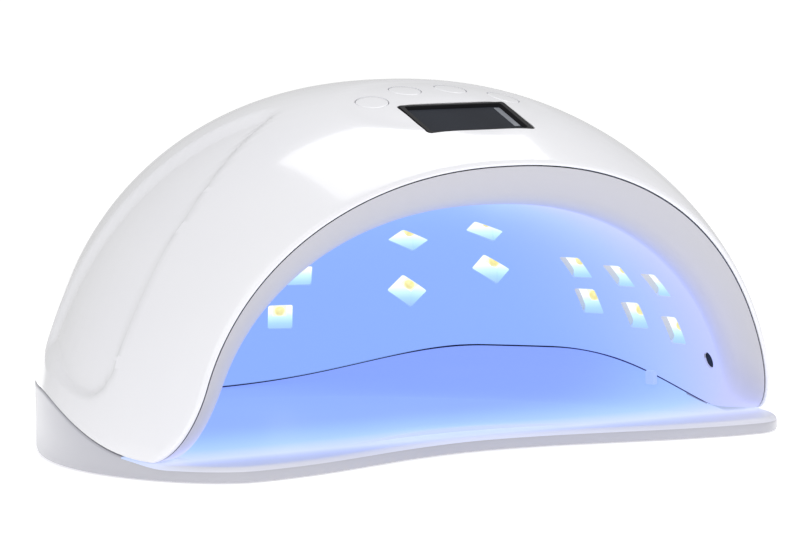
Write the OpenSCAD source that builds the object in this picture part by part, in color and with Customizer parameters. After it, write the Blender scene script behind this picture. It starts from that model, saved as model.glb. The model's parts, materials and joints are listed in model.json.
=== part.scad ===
// Dome lamp that cures gel nail polish with ultraviolet LEDs.
// A domed housing with an arched hand opening stands on a loose, magnetic base tray.
// Frame: +Z up, hand opening towards -Y, X across the opening, origin under the middle.

/* [Overall] */
// Width of the tray and the dome at their widest
body_w = 235; // [200:1:280]
// Depth from the front edge of the tray to the back
body_d = 206; // [180:1:246]
// Height of the dome's crown above the table
body_h = 112.5; // [102:0.5:135]
// Wall of the plastic mouldings
wall = 2; // [1.6:0.1:2.6]

/* [Plan] */
// Distance from the front edge to the widest place
wide_back = 51; // [40:1:60]
// Half width of the straight part of the front edge, between its rounded corners
corner_x = 92.5; // [85:0.5:96]
// How far the middle of the front edge curves in, for the wrist
wave = 20; // [8:1:26]
// How strongly the plan narrows to the back
plan_taper = 0.18; // [0.1:0.01:0.26]

/* [Dome] */
// Distance from the front edge to the crown
crown_back = 66.5; // [58:0.5:74]
// Drop of the roof from the crown to the lip
roof_drop = 24; // [18:1:28]
// How strongly the roof falls to the back
roof_taper = 0.1; // [0.05:0.01:0.16]
// Distance from the front edge to the lip's top
lip_back = 2; // [1:0.5:8]
// Backward lean of the opening from its top to the table
lip_lean = 9; // [4:0.5:14]
// Height over which the lip's foot rounds back
foot_h = 22; // [16:1:26]
// Depth of that rounding
foot_d = 16; // [12:1:20]

/* [Opening and cavity] */
// Width of the white front band, from the shell to the cavity
band_w = 15; // [12:0.5:18]
// Depth of the front band's bevel
band_d = 8; // [5:0.5:11]
// Height of the cavity's ceiling above the table
cavity_h = 76; // [68:1:82]
// Side of a square LED window
window = 9.5; // [8:0.5:11]

/* [Seam] */
// Thickness of the tray at its front and floor
tray_h = 5; // [4.8:0.1:6.5]
// How much higher the tray's sides rise than its front
seam_rise = 16; // [12:0.5:18]
// Distance from the front edge to the highest place of the seam
seam_peak_back = 114; // [108:1:122]
// Length of the level stretch at that place
seam_flat = 22; // [10:1:30]
// Length over which the seam falls from there, to the front and to the back
seam_half = 82; // [74:1:86]
// Parting gap between tray and dome
seam_gap = 0.4; // [0.3:0.05:0.6]
// Width of the cove from the tray's inner wall to its floor
cove_w = 22; // [16:1:28]

/* [Controls] */
// Width of the display
display_w = 39.4; // [34:0.2:44]
// Depth of the display
display_d = 18.4; // [15:0.2:20]
// Distance from the front edge to the display's middle
display_back = 24.7; // [23:0.1:27]
// Diameter of a timer button
button_d = 10; // [9:0.5:12]
// Travel of a timer button
button_travel = 0.8; // [0.4:0.1:1]
// Spacing of the buttons along their arc
button_pitch = 17; // [16.2:0.1:18]

/* [Power inlet] */
// Bore of the inlet socket, for a 5.5 mm barrel plug
jack_bore_d = 5.7; // [5.6:0.1:6]
// Diameter of the inlet's centre pin
jack_pin_d = 2.1; // [2:0.1:2.5]
// Height of the inlet above the table
jack_z = 25; // [22:1:30]

/* [LEDs] */
// Spacing of the LED windows along the side walls
led_pitch = 17; // [15:0.5:18]
// Side of an LED's square board
led_board = 12.5; // [11:0.5:13]

/* [Underside] */
// Diameter of a rubber foot
foot_pad_d = 12; // [8:1:14]
// How far a foot stands below the bottom cover
foot_pad_proud = 0.3; // [0.2:0.1:1]
// Diameter of a holding magnet
magnet_d = 7; // [5:0.5:7]
// Thickness of a holding magnet
magnet_t = 2.5; // [1.5:0.5:2.5]

/* [Hidden] */

// Colours
white_gloss = [0.94, 0.94, 0.95];
white_satin = [0.86, 0.86, 0.89];
tray_white = [0.9, 0.9, 0.93];
black = [0.05, 0.05, 0.06];
board_green = [0.1, 0.35, 0.2];
steel = [0.7, 0.7, 0.72];
led_yellow = [0.95, 0.85, 0.35];

// Grid of the curved shells
shell_rows = 17;
shell_cols = 40;
cavity_rows = 16;
cavity_cols = 40;
plan_step = 5;
fine = 48;

// Stations along the depth
front_y = -body_d / 2;
back_y = body_d / 2;
wide_y = front_y + wide_back;
crown_y = front_y + crown_back;
lip_y = front_y + lip_back;
seam_peak_y = front_y + seam_peak_back;

// Shape exponents: 2 is an ellipse, more is squarer
arch_side = 2.22;
arch_top = 2.08;
roof_fall = 2.1;
cavity_side = 2.25;
cavity_top = 2.15;
lip_bow = 3;

// Small clearances
joint_gap = 0.3;
glue_gap = 0.1;

// The dome stands this far inside the tray's edge
dome_inset = 0.4;

// Half an ellipse that narrows towards its far end, u from 0 to 1
function egg(u, taper) = sqrt(max(0, 1 - u * u)) * (1 - taper * pow(sin(90 * u), 2));
function signed_power(v, p) = sign(v) * pow(abs(v), p);
function unit(v) = v / norm(v);

// Half width of the plan at station y, moved in by inset
function plan_w(y, inset = 0) =
    y >= wide_y
        ? (body_w / 2 - inset) * egg(min(1, (y - wide_y) / (back_y - inset - wide_y)), plan_taper)
        : let (u = min(1, (wide_y - y) / wide_back))
          corner_x + (body_w / 2 - corner_x) * sqrt(1 - u * u) - inset;

// Height of the roof on the centre line at station y, moved in by inset
function roof_h(y, inset = 0) =
    y >= crown_y
        ? (body_h - inset)
            * egg(min(1, (y - crown_y) / (back_y - dome_inset - inset - crown_y)), roof_taper)
        : body_h - inset - roof_drop * pow((crown_y - y) / (crown_y - lip_y), roof_fall);

// Height of the seam between tray and dome at station y
function seam_z(y) =
    let (away = max(0, abs(y - seam_peak_y) - seam_flat / 2))
    tray_h + seam_rise * (1 + cos(180 * min(1, away / seam_half))) / 2;

// A point of an arch over station y: t runs from the seam on the right, over the top, to the left
function arch_pt(y, t, w, h, side_p, top_p, gap = seam_gap) =
    let (low = asin(pow(min(1, (seam_z(y) + gap) / h), top_p / 2)),
         a = low + t * (180 - 2 * low))
    [w * signed_power(cos(a), 2 / side_p), y, h * pow(sin(a), 2 / top_p)];
// The dome's foot flares out, so that its wall meets the tray's edge upright
flare_h = 30;
flare_most = 2.2;
flare_fade = 12;
function flare(p, w, h) =
    let (low = seam_z(p[1]) + seam_gap,
         lean = w * (1 - pow(1 - pow(min(1, low / h), arch_top), 1 / arch_side)),
         near = pow(max(0, 1 - max(0, p[2] - low) / flare_h), 2))
    [sign(p[0]) * min(lean, flare_most) * near * min(1, abs(p[0]) / flare_fade), 0, 0];
function dome_pt(y, t, inset = 0) =
    let (w = plan_w(y, inset + dome_inset),
         h = roof_h(y, inset),
         p = arch_pt(y, t, w, h, arch_side, arch_top))
    p + flare(p, w, h);

// The opening's edge: its distance back at height z
lip_top = roof_h(lip_y);
function foot_curl(z) =
    let (q = max(0, min(1, (tray_h + foot_h - z) / foot_h))) foot_d * (1 - sqrt(1 - q * q));
function lip_at(z) =
    let (u = z / lip_top) lip_y + lip_lean * (1 - u) + 4 * lip_bow * u * (1 - u) + foot_curl(z);
function lip_station(t, inset, n = 6, y = lip_y) =
    n == 0 ? y : lip_station(t, inset, n - 1, lip_at(dome_pt(y, t, inset)[2]));

// The last station of the dome: where the roof comes down to the seam
end_h = 0.3;
function end_station(inset, lo, hi, n = 20) =
    let (mid = (lo + hi) / 2)
    n == 0 ? lo
           : roof_h(mid, inset) > seam_z(mid) + seam_gap + end_h
               ? end_station(inset, mid, hi, n - 1)
               : end_station(inset, lo, mid, n - 1);

function dome_grid(inset) =
    let (last = end_station(inset, crown_y, back_y - inset))
    [for (r = [0 : shell_rows])
        [for (c = [0 : shell_cols])
            let (t = c / shell_cols,
                 first = lip_station(t, inset))
            dome_pt(first + (last - first) * sin(90 * r / shell_rows), t, inset)]];

// The cavity inside the hand opening
cavity_gap = band_w + 1;
cavity_front_h = cavity_h - 1.5;
function cavity_w(y, out = 0) = plan_w(y, cavity_gap - out);
function cavity_roof(y, out = 0) =
    y < crown_y
        ? cavity_h + out - (cavity_h - cavity_front_h) * pow((crown_y - y) / (crown_y - lip_y), 2)
        : (cavity_h + out) * egg(min(1, (y - crown_y) / (back_y - cavity_gap + out - crown_y)), 0);
function cavity_grid_pt(y, t, out) =
    arch_pt(y, t, cavity_w(y, out), cavity_roof(y, out), cavity_side, cavity_top, seam_gap + 0.45);
function band_station(t, out, n = 6, y = lip_y) =
    n == 0 ? y : band_station(t, out, n - 1, lip_at(cavity_grid_pt(y, t, out)[2]) + band_d);
function cavity_end(out, lo, hi, n = 20) =
    let (mid = (lo + hi) / 2)
    n == 0 ? lo
           : cavity_roof(mid, out) > seam_z(mid) + seam_gap + end_h
               ? cavity_end(out, mid, hi, n - 1)
               : cavity_end(out, lo, mid, n - 1);

// The band swells forwards between the lip and the cavity's edge
band_rows = 3;
band_swell = 0.35;
function band_pt(t, k, out) =
    let (edge = dome_pt(lip_station(t, wall + joint_gap) + 1, t, wall + joint_gap),
         inner = cavity_grid_pt(band_station(t, out), t, out),
         s = k / band_rows)
    edge * (1 - s) + inner * s + [0, (s * s - s) * band_d * band_swell * 4 / 3 + 2 * out / wall * 0.5, 0];
function reflector_grid(out) =
    let (last = cavity_end(out, crown_y, back_y - cavity_gap + out))
    concat(
        [for (k = [0 : band_rows - 1])
            [for (c = [0 : cavity_cols]) band_pt(c / cavity_cols, k, out)]],
        [for (r = [0 : cavity_rows])
            [for (c = [0 : cavity_cols])
                let (t = c / cavity_cols,
                     first = band_station(t, out))
                cavity_grid_pt(first + (last - first) * sin(90 * r / cavity_rows), t, out)]]);

// A sheet between two grids of the same size, the first facing out
module sheet(front, back) {
    rows = len(front);
    cols = len(front[0]);
    n = rows * cols;
    function f(r, c) = r * cols + c;
    function b(r, c) = n + r * cols + c;
    polyhedron(
        points = concat([for (row = front) for (p = row) p], [for (row = back) for (p = row) p]),
        faces = concat(
            [for (r = [0 : rows - 2]) for (c = [0 : cols - 2]) each [
                [f(r, c), f(r, c + 1), f(r + 1, c + 1)],
                [f(r, c), f(r + 1, c + 1), f(r + 1, c)],
                [b(r, c), b(r + 1, c + 1), b(r, c + 1)],
                [b(r, c), b(r + 1, c), b(r + 1, c + 1)]]],
            [for (c = [0 : cols - 2]) each [
                [f(0, c + 1), f(0, c), b(0, c)],
                [f(0, c + 1), b(0, c), b(0, c + 1)],
                [f(rows - 1, c), f(rows - 1, c + 1), b(rows - 1, c + 1)],
                [f(rows - 1, c), b(rows - 1, c + 1), b(rows - 1, c)]]],
            [for (r = [0 : rows - 2]) each [
                [f(r, 0), f(r + 1, 0), b(r + 1, 0)],
                [f(r, 0), b(r + 1, 0), b(r, 0)],
                [f(r + 1, cols - 1), f(r, cols - 1), b(r, cols - 1)],
                [f(r + 1, cols - 1), b(r, cols - 1), b(r + 1, cols - 1)]]]));
}

// A solid skinned over closed rings of points, with a flat cap at each end
module skin(rings) {
    n = len(rings[0]);
    last = len(rings) - 1;
    polyhedron(
        points = [for (ring = rings) for (p = ring) p],
        faces = concat(
            [[for (j = [n - 1 : -1 : 0]) j]],
            [for (i = [0 : last - 1]) for (j = [0 : n - 1]) each [
                [i * n + j, (i + 1) * n + (j + 1) % n, (i + 1) * n + j],
                [i * n + j, i * n + (j + 1) % n, (i + 1) * n + (j + 1) % n]]],
            [[for (j = [0 : n - 1]) last * n + j]]));
}

// The plan's outline, moved in by inset, counter-clockwise from the widest place on the right
function outline(inset = 0) =
    let (side = body_w / 2 - inset,
         back = back_y - inset - wide_y,
         front = wide_back - inset)
    concat(
        [for (a = [0 : plan_step : 180])
            let (s = sin(a))
            [side * cos(a) * (1 - plan_taper * pow(sin(90 * s), 2)), wide_y + back * s]],
        [for (a = [plan_step * 2 : plan_step * 2 : 90])
            [-corner_x - (side - corner_x) * cos(a), wide_y - front * sin(a)]],
        [for (i = [1 : 9])
            let (x = -corner_x + 2 * corner_x * i / 10)
            [x, wide_y - front + wave * (1 + cos(180 * x / corner_x)) / 2]],
        [for (a = [90 : -plan_step * 2 : plan_step])
            [corner_x + (side - corner_x) * cos(a), wide_y - front * sin(a)]]);

// ---- Base tray ----
cover_t = 2;
edge_r = 1.8;
cover_z = foot_pad_proud;
rim_w = cavity_gap - 0.2;
floor_z = tray_h;

function ring(inset, z) = [for (p = outline(inset)) [p[0], p[1], z]];
// A ring at the seam's height less drop
function seam_ring(inset, drop) =
    let (line = outline(0)) [for (i = [0 : len(line) - 1])
        let (p = outline(inset)[i]) [p[0], p[1], seam_z(line[i][1]) - drop]];
// A ring on the cove, s from 0 at the rim to 1 on the floor
function cove_ring(s, out, drop) =
    let (line = outline(0),
         moved = outline(rim_w - out + (cove_w) * s),
         fall = 1 - sqrt(1 - pow(1 - s, 2)))
    [for (i = [0 : len(line) - 1])
        [moved[i][0], moved[i][1],
         floor_z - drop + (seam_z(line[i][1]) - floor_z) * (s == 0 ? 1 : fall)]];

module base_tray_body() {
    coves = [1, 0.75, 0.5, 0.28, 0.12, 0];
    skin(concat(
        [for (s = coves) cove_ring(s, 0, 0)],
        [seam_ring(edge_r, 0), seam_ring(edge_r * 0.3, edge_r * 0.3), seam_ring(0, edge_r),
         ring(0, cover_z), ring(wall, cover_z), seam_ring(wall, edge_r + wall * 0.4),
         seam_ring(edge_r + wall, wall)],
        [for (i = [len(coves) - 1 : -1 : 0]) cove_ring(coves[i], wall, wall)]));
}

// Where the tray's screws and bosses stand: [x, y], inset at a right angle to the edge
screw_inset = 9;
function edge_slope(y) = (plan_w(y + 1) - plan_w(y - 1)) / 2;
function rim_xy(y, inset, side) = [side * (plan_w(y) - inset * norm([1, edge_slope(y)])), y];
tray_screw_ys = [wide_y + 6, seam_peak_y - 6, seam_peak_y + 46];
tray_screws = [for (y = tray_screw_ys) for (side = [-1, 1]) rim_xy(y, screw_inset, side)];
boss_d = 6;
screw_d = 2.6;
screw_head_d = 5;
screw_head_h = 1.4;
screw_l = 9;

module post(d, low, high) {
    hull() {
        translate([0, 0, low])
            cylinder(d = d, h = 0.5, $fn = 20);
        translate([0, 0, high - 0.5])
            cylinder(d = d, h = 0.5, $fn = 20);
    }
}

// Two small tabs on the cove that stand just inside the reflector's lower edge
tab_y = front_y + 62;
tab_w = 4;
tab_t = 1.6;
tab_rise = 2.5;
tab_root = 2;
tab_clear = 2.1;
module locating_tabs() {
    for (side = [-1, 1])
        translate([side * (plan_w(tab_y) - cavity_gap - tab_clear - tab_t / 2), tab_y,
                   seam_z(tab_y) + (tab_rise - tab_root) / 2])
            cube([tab_t, tab_w, tab_rise + tab_root], center = true);
}

module base_tray() {
    color(tray_white)
    difference() {
        union() {
            base_tray_body();
            locating_tabs();
            for (p = tray_screws)
                translate(p)
                    post(boss_d, cover_z + cover_t + glue_gap, seam_z(p[1]) - wall / 2);
        }
        for (p = tray_screws)
            translate(p)
                post(screw_d + 0.1, cover_z, min(cover_z + screw_l + 1, seam_z(p[1]) - wall));
    }
}

pad_ys = [front_y + 32, seam_peak_y + 50];
pads = [for (y = pad_ys) for (side = [-1, 1]) rim_xy(y, 24, side)];
pad_sunk = 1;

module base_cover() {
    color(tray_white)
    difference() {
        translate([0, 0, cover_z])
            linear_extrude(cover_t)
                polygon(outline(wall + joint_gap));
        for (p = tray_screws) {
            translate([p[0], p[1], cover_z - 1])
                cylinder(d = screw_d + 0.6, h = cover_t + 2, $fn = fine);
            translate([p[0], p[1], cover_z - 1])
                cylinder(d = screw_head_d + 0.4, h = 1 + screw_head_h + 0.1, $fn = fine);
        }
        for (p = pads)
            translate([p[0], p[1], cover_z - 1])
                cylinder(d = foot_pad_d + 0.2, h = 1 + pad_sunk, $fn = fine);
    }
}

module screw(head_z, length) {
    translate([0, 0, head_z])
        cylinder(d = screw_head_d, h = screw_head_h, $fn = fine);
    translate([0, 0, head_z])
        cylinder(d = screw_d, h = length, $fn = fine);
}

module base_screws() {
    color(steel)
    for (p = tray_screws)
        translate(p)
            screw(cover_z + 0.1, min(screw_l, seam_z(p[1]) - wall - cover_z - 0.4));
}

module rubber_feet() {
    color(black)
    for (p = pads)
        translate(p)
            cylinder(d = foot_pad_d, h = foot_pad_proud + pad_sunk - 0.05, $fn = fine);
}

magnet_ys = [seam_peak_y - 40, seam_peak_y + 28];
magnets = [for (y = magnet_ys) for (side = [-1, 1]) rim_xy(y, 9.2, side)];
magnet_clear = 1.5;
tray_magnet_drop = 2.4;

module tray_magnets() {
    color(steel)
    for (p = magnets)
        translate([p[0], p[1], seam_z(p[1]) - wall - tray_magnet_drop - magnet_t])
            cylinder(d = magnet_d, h = magnet_t, $fn = fine);
}

// ---- Dome ----
jack_body = [10, 6.5, 11];
jack_collar_d = 9;
jack_face_y = back_y - 3;
jack_depth = 9.5;
jack_body_y = back_y - 11;
vent_l = 16;
vent_w = 2;
vent_pitch = 5;
vent_count = 5;
vent_z = 46;

// The display lies in a plane through two points of the roof's centre line
display_y = front_y + display_back;
display_tilt = atan((roof_h(display_y + display_d / 2) - roof_h(display_y - display_d / 2)) / display_d);
display_sink = 1.4;
frame_t = 2.4;
module on_display() {
    translate([0, display_y, roof_h(display_y) - display_sink])
        rotate([display_tilt, 0, 0])
            children();
}

// The buttons press along one direction, the roof's normal between them
arc_r = 50;
arc_centre_y = display_y - 29.1;
button_angles = [for (i = [-1.5 : 1 : 1.5]) i * button_pitch / arc_r * 180 / PI];
function button_xy(i) = [arc_r * sin(button_angles[i]), arc_centre_y + arc_r * cos(button_angles[i])];
buttons_y = (button_xy(0)[1] + button_xy(1)[1]) / 2;
slope_step = 2;
function roof_pt(x, y, inset = 0) =
    [x, y, roof_h(y, inset)
        * pow(1 - pow(abs(x) / plan_w(y, inset + dome_inset), arch_side), 1 / arch_top)];
buttons_tilt = atan((roof_h(buttons_y + slope_step) - roof_h(buttons_y - slope_step)) / (2 * slope_step));
plane_origin = [0, buttons_y, roof_h(buttons_y)];
module on_buttons() {
    translate(plane_origin)
        rotate([buttons_tilt, 0, 0])
            children();
}
// A point in the buttons' frame: x across, y up the roof, z outwards
function to_plane(p) =
    let (d = p - plane_origin, c = cos(buttons_tilt), s = sin(buttons_tilt))
    [d[0], d[1] * c + d[2] * s, d[2] * c - d[1] * s];
function button_local(i) = let (q = button_xy(i)) to_plane(roof_pt(q[0], q[1]));
// How far the roof leans sideways at a button, in degrees
function button_lean(i) =
    let (q = button_xy(i))
    atan((roof_pt(q[0] + slope_step, q[1])[2] - roof_pt(q[0] - slope_step, q[1])[2]) / (2 * slope_step));

button_gap = 0.35;
flange_h = 1;
flange_d = button_d + 1.8;
flange_clear = 0.25;
flange_drop = wall + 1.6;
stem_d = 4;
board_t = 1.6;
board_drop = 17;
switch_h = 5;
switch_bore_d = stem_d + 0.6;
guide_t = 2;
guide_drop = 8.5;
board_size = [74, 40];

module outer_shell() {
    color(white_gloss)
    difference() {
        union() {
            sheet(dome_grid(0), dome_grid(wall));
            shell_bosses();
        }
        on_display()
            cube([display_w + 2 * joint_gap, display_d + 2 * joint_gap, 20], center = true);
        on_buttons()
            for (i = [0 : 3]) {
                p = button_local(i);
                translate([p[0], p[1], p[2] - 8])
                    cylinder(d = button_d + 2 * button_gap, h = 16, $fn = fine);
                translate([p[0], p[1], p[2] - flange_drop + flange_clear - 12])
                    cylinder(d = flange_d + 2 * button_gap, h = 12, $fn = fine);
            }
        translate([0, back_y - 25, jack_z])
            rotate([-90, 0, 0])
                cylinder(d = jack_collar_d + 2 * joint_gap, h = 40, $fn = fine);
        for (side = [-1, 1])
            for (i = [0 : vent_count - 1])
                vent(side * (14 + i * vent_pitch));
    }
}

// One upright cooling slot through the back of the dome
module vent(x) {
    hull()
        for (z = [vent_z, vent_z + vent_l])
            translate([x, back_y - 60, z])
                rotate([-90, 0, 0])
                    cylinder(d = vent_w, h = 80, $fn = 12);
}

// LED places on the right wall of the cavity: [station, height, turn in the wall's plane]
led_sites = concat(
    [for (i = [0 : 2]) [front_y + 41.7 + i * led_pitch, cavity_h - 31 + i * 2.2, 0]],
    [for (i = [0 : 2]) [front_y + 46 + i * led_pitch, cavity_h - 46.2 + i * 4, 0]],
    [[front_y + 95, cavity_h - 14.5, 45], [front_y + 122.5, cavity_h - 18, 45],
     [front_y + 108, cavity_h - 28, 45], [front_y + 138.5, cavity_h - 36, 45],
     [front_y + 159, cavity_h - 30.5, 0], [front_y + 172.5, cavity_h - 45, 0]]);

function cavity_pt(y, z, out = 0) =
    [cavity_w(y, out) * pow(max(0, 1 - pow(z / cavity_roof(y, out), cavity_top)), 1 / cavity_side), y, z];
// The cavity wall's frame at a place: along the depth, up the wall, and outwards
function site_frame(y, z) =
    let (along = unit(cavity_pt(y + 1, z) - cavity_pt(y - 1, z)),
         up0 = cavity_pt(y, z + 1) - cavity_pt(y, z - 1),
         out = unit(cross(up0, along) * -1),
         up = cross(out, along) * -1)
    [along, up, out];
module at_site(site, side) {
    y = site[0];
    z = site[1];
    p = cavity_pt(y, z);
    f = site_frame(y, z);
    mirror([side < 0 ? 1 : 0, 0, 0])
        multmatrix([
            [f[0][0], f[1][0], f[2][0], p[0]],
            [f[0][1], f[1][1], f[2][1], p[1]],
            [f[0][2], f[1][2], f[2][2], p[2]],
            [0, 0, 0, 1]])
            rotate([0, 0, site[2]])
                children();
}

ir_site = [front_y + 30, 21, 0];
ir_d = 5;
ir_hole_d = ir_d + 0.6;

module inner_reflector() {
    color(white_satin)
    difference() {
        sheet(reflector_grid(wall), reflector_grid(0));
        for (side = [-1, 1]) {
            for (site = led_sites)
                at_site(site, side)
                    hull() {
                        translate([0, 0, -4])
                            cube([window + 1.2, window + 1.2, 0.1], center = true);
                        translate([0, 0, 6])
                            cube([window, window, 0.1], center = true);
                    }
            at_site(ir_site, side)
                cylinder(d = ir_hole_d, h = 12, center = true, $fn = 24);
        }
    }
}

cup_near = wall + 0.8;
cup_depth = 1.8;
cup_wall = 1;

module led_cups(side) {
    color(white_satin)
    for (site = led_sites)
        at_site(site, side)
            translate([0, 0, cup_near])
                difference() {
                    translate([0, 0, cup_depth / 2])
                        cube([window + 2 * cup_wall, window + 2 * cup_wall, cup_depth], center = true);
                    translate([0, 0, cup_depth / 2])
                        cube([window, window, cup_depth + 2], center = true);
                }
}
module led_cups_left() { led_cups(-1); }
module led_cups_right() { led_cups(1); }

module led_boards(side) {
    color(white_satin)
    for (site = led_sites)
        at_site(site, side)
            translate([0, 0, cup_near + cup_depth + board_t / 2])
                cube([led_board, led_board, board_t], center = true);
}
module led_boards_left() { led_boards(-1); }
module led_boards_right() { led_boards(1); }

bead = 4.6;
bead_t = 1.3;
module led_beads(side) {
    color(led_yellow)
    for (site = led_sites)
        at_site(site, side)
            translate([0, 0, cup_near + cup_depth - bead_t / 2])
                cube([bead, bead, bead_t], center = true);
}
module led_beads_left() { led_beads(-1); }
module led_beads_right() { led_beads(1); }

lens_r = 1.7;
module led_lenses(side) {
    color(led_yellow)
    for (site = led_sites)
        at_site(site, side)
            translate([0, 0, cup_near + cup_depth - bead_t])
                intersection() {
                    sphere(r = lens_r, $fn = fine);
                    translate([0, 0, -lens_r / 2])
                        cube([2 * lens_r + 1, 2 * lens_r + 1, lens_r], center = true);
                }
}
module led_lenses_left() { led_lenses(-1); }
module led_lenses_right() { led_lenses(1); }

module ir_diode(side) {
    color(black)
    at_site(ir_site, side) {
        translate([0, 0, 0.4])
            cylinder(d = ir_d, h = 8, $fn = fine);
        translate([0, 0, wall + 1])
            cylinder(d = ir_d + 1.5, h = 4.5, $fn = fine);
    }
}
module ir_emitter() { ir_diode(1); }
module ir_receiver() { ir_diode(-1); }

// The plate that closes the dome's underside between shell and reflector
rim_t = 3;
rim_low = seam_gap + 0.75;
rim_outer = dome_inset + wall + 1.8;
rim_inner = cavity_gap - wall - 0.5;
rim_reach = 13;
rim_stations = concat([-rim_reach, -6], [for (a = [0 : 7.5 : 180]) a], [186, 180 + rim_reach]);
function rim_plan(a, inset) =
    let (side = body_w / 2 - inset, s = sin(a))
    s >= 0
        ? [side * cos(a) * (1 - plan_taper * pow(sin(90 * s), 2)), wide_y + (back_y - inset - wide_y) * s]
        : [sign(cos(a)) * (corner_x + (side - corner_x) * abs(cos(a))), wide_y + (wide_back - inset) * s];
rim_screw_ys = [seam_peak_y - 60, seam_peak_y - 6, seam_peak_y + 52];
rim_screws_xy = [for (y = rim_screw_ys) for (side = [-1, 1]) rim_xy(y, 9.2, side)];
rim_screw_l = 8;
rim_head_low = rim_low + 0.5;

module dome_rim() {
    color(white_satin)
    difference() {
        skin([for (a = rim_stations)
            let (p = rim_plan(a, rim_outer), q = rim_plan(a, rim_inner),
                 low = seam_z(p[1]) + rim_low)
            [[p[0], p[1], low], [p[0], p[1], low + rim_t],
             [q[0], q[1], low + rim_t], [q[0], q[1], low]]]);
        for (p = rim_screws_xy)
            translate([p[0], p[1], seam_z(p[1])]) {
                cylinder(d = screw_head_d + 0.4, h = rim_head_low + screw_head_h + 0.1, $fn = fine);
                cylinder(d = screw_d + 0.4, h = 2 * rim_t, $fn = fine);
            }
    }
}

module rim_screws() {
    color(steel)
    for (p = rim_screws_xy)
        translate(p)
            screw(seam_z(p[1]) + rim_head_low, rim_screw_l);
}

// Bosses inside the shell for the rim's screws, each with a rib to the wall
rib_t = 2;
boss_h = 8;
function wall_x(y, z) = let (w = plan_w(y, wall + dome_inset), h = roof_h(y, wall),
    p = [w * pow(1 - pow(z / h, arch_top), 1 / arch_side), y, z]) (p + flare(p, w, h))[0];
module shell_bosses() {
    for (i = [0 : len(rim_screws_xy) - 1]) {
        p = rim_screws_xy[i];
        low = seam_z(p[1]) + rim_low + rim_t + 1.2;
        reach = wall_x(p[1], low + boss_h / 2) + wall / 2 - abs(p[0]);
        translate([p[0], p[1], low])
            difference() {
                union() {
                    cylinder(d = boss_d, h = boss_h, $fn = fine);
                    translate([p[0] < 0 ? -reach : 0, -rib_t / 2, 0])
                        cube([reach, rib_t, boss_h]);
                }
                translate([0, 0, -1])
                    cylinder(d = screw_d + 0.2, h = boss_h, $fn = fine);
            }
    }
}

module dome_magnets() {
    color(steel)
    for (p = magnets)
        translate([p[0], p[1], seam_z(p[1]) + rim_low + rim_t + magnet_clear])
            cylinder(d = magnet_d, h = magnet_t, $fn = fine);
}

// ---- Display ----
frame_side = 2.6;
frame_front = 1.8;
glass_t = 1;
glass_sink = 0.5;
lcd_t = 3.6;
function display_opening() = [display_w - 2 * frame_side, display_d - 2 * frame_front];

module display_frame() {
    color(black)
    on_display()
        difference() {
            translate([0, 0, -frame_t / 2])
                cube([display_w, display_d, frame_t], center = true);
            cube(concat(display_opening(), 4 * frame_t), center = true);
        }
}

module display_window() {
    color([0.16, 0.19, 0.24])
    on_display()
        translate([0, 0, -glass_sink - glass_t / 2])
            cube([display_opening()[0] - 2 * glue_gap, display_opening()[1] - 2 * glue_gap, glass_t],
                 center = true);
}

module lcd_module() {
    color(board_green)
    on_display()
        translate([0, 0, -frame_t - glue_gap - lcd_t / 2])
            cube([display_w - 1, display_d - 2.4, lcd_t], center = true);
}

// ---- Buttons ----
stem_end = -board_drop + switch_h - 1;

module timer_button(i) {
    p = button_local(i);
    color(white_gloss)
    on_buttons() {
        translate(p)
            intersection() {
                translate([0, 0, -flange_drop - flange_h])
                    cylinder(d = button_d, h = flange_drop + flange_h + 3, $fn = fine);
                rotate([0, -button_lean(i), 0])
                    translate([-button_d, -button_d, -2 * button_d])
                        cube([2 * button_d, 2 * button_d, 2 * button_d]);
            }
        translate([p[0], p[1], p[2] - flange_drop - flange_h])
            cylinder(d = flange_d, h = flange_h, $fn = fine);
        translate([p[0], p[1], stem_end])
            cylinder(d = stem_d, h = p[2] - flange_drop - flange_h - stem_end + 0.2, $fn = fine);
    }
}
module button_10s() { timer_button(0); }
module button_30s() { timer_button(1); }
module button_60s() { timer_button(2); }
module button_99s() { timer_button(3); }

guide_fit = 0.08;
guide_margin = 4;
guide_low = button_local(0)[1] - guide_margin;
guide_high = button_local(1)[1] + guide_margin;
module button_guide() {
    color(white_satin)
    on_buttons()
        difference() {
            translate([-button_local(3)[0] - guide_margin, guide_low, -guide_drop - guide_t])
                cube([2 * (button_local(3)[0] + guide_margin), guide_high - guide_low, guide_t]);
            for (i = [0 : 3])
                translate([button_local(i)[0], button_local(i)[1], -guide_drop - 2 * guide_t])
                    cylinder(d = stem_d + 2 * guide_fit, h = 4 * guide_t, $fn = fine);
        }
}

pad_t = 0.4;
module return_pads() {
    color([0.8, 0.8, 0.8])
    on_buttons()
        for (i = [0 : 3])
            translate([button_local(i)[0], button_local(i)[1], -guide_drop])
                difference() {
                    cylinder(d = stem_d + 5, h = pad_t, $fn = fine);
                    translate([0, 0, -1])
                        cylinder(d = stem_d + 1, h = pad_t + 2, $fn = fine);
                }
}

switch_side = 6.4;
module tact_switches() {
    color(black)
    on_buttons()
        for (i = [0 : 3])
            translate([button_local(i)[0], button_local(i)[1], -board_drop])
                difference() {
                    translate([0, 0, switch_h / 2])
                        cube([switch_side, switch_side, switch_h], center = true);
                    translate([0, 0, switch_h - 1 - button_travel - 1])
                        cylinder(d = switch_bore_d, h = switch_h, $fn = fine);
                }
}

board_low = guide_high + 6 - board_size[1];
module control_board() {
    color(board_green)
    on_buttons()
        translate([-board_size[0] / 2, board_low, -board_drop - board_t])
            cube([board_size[0], board_size[1], board_t]);
}

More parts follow.
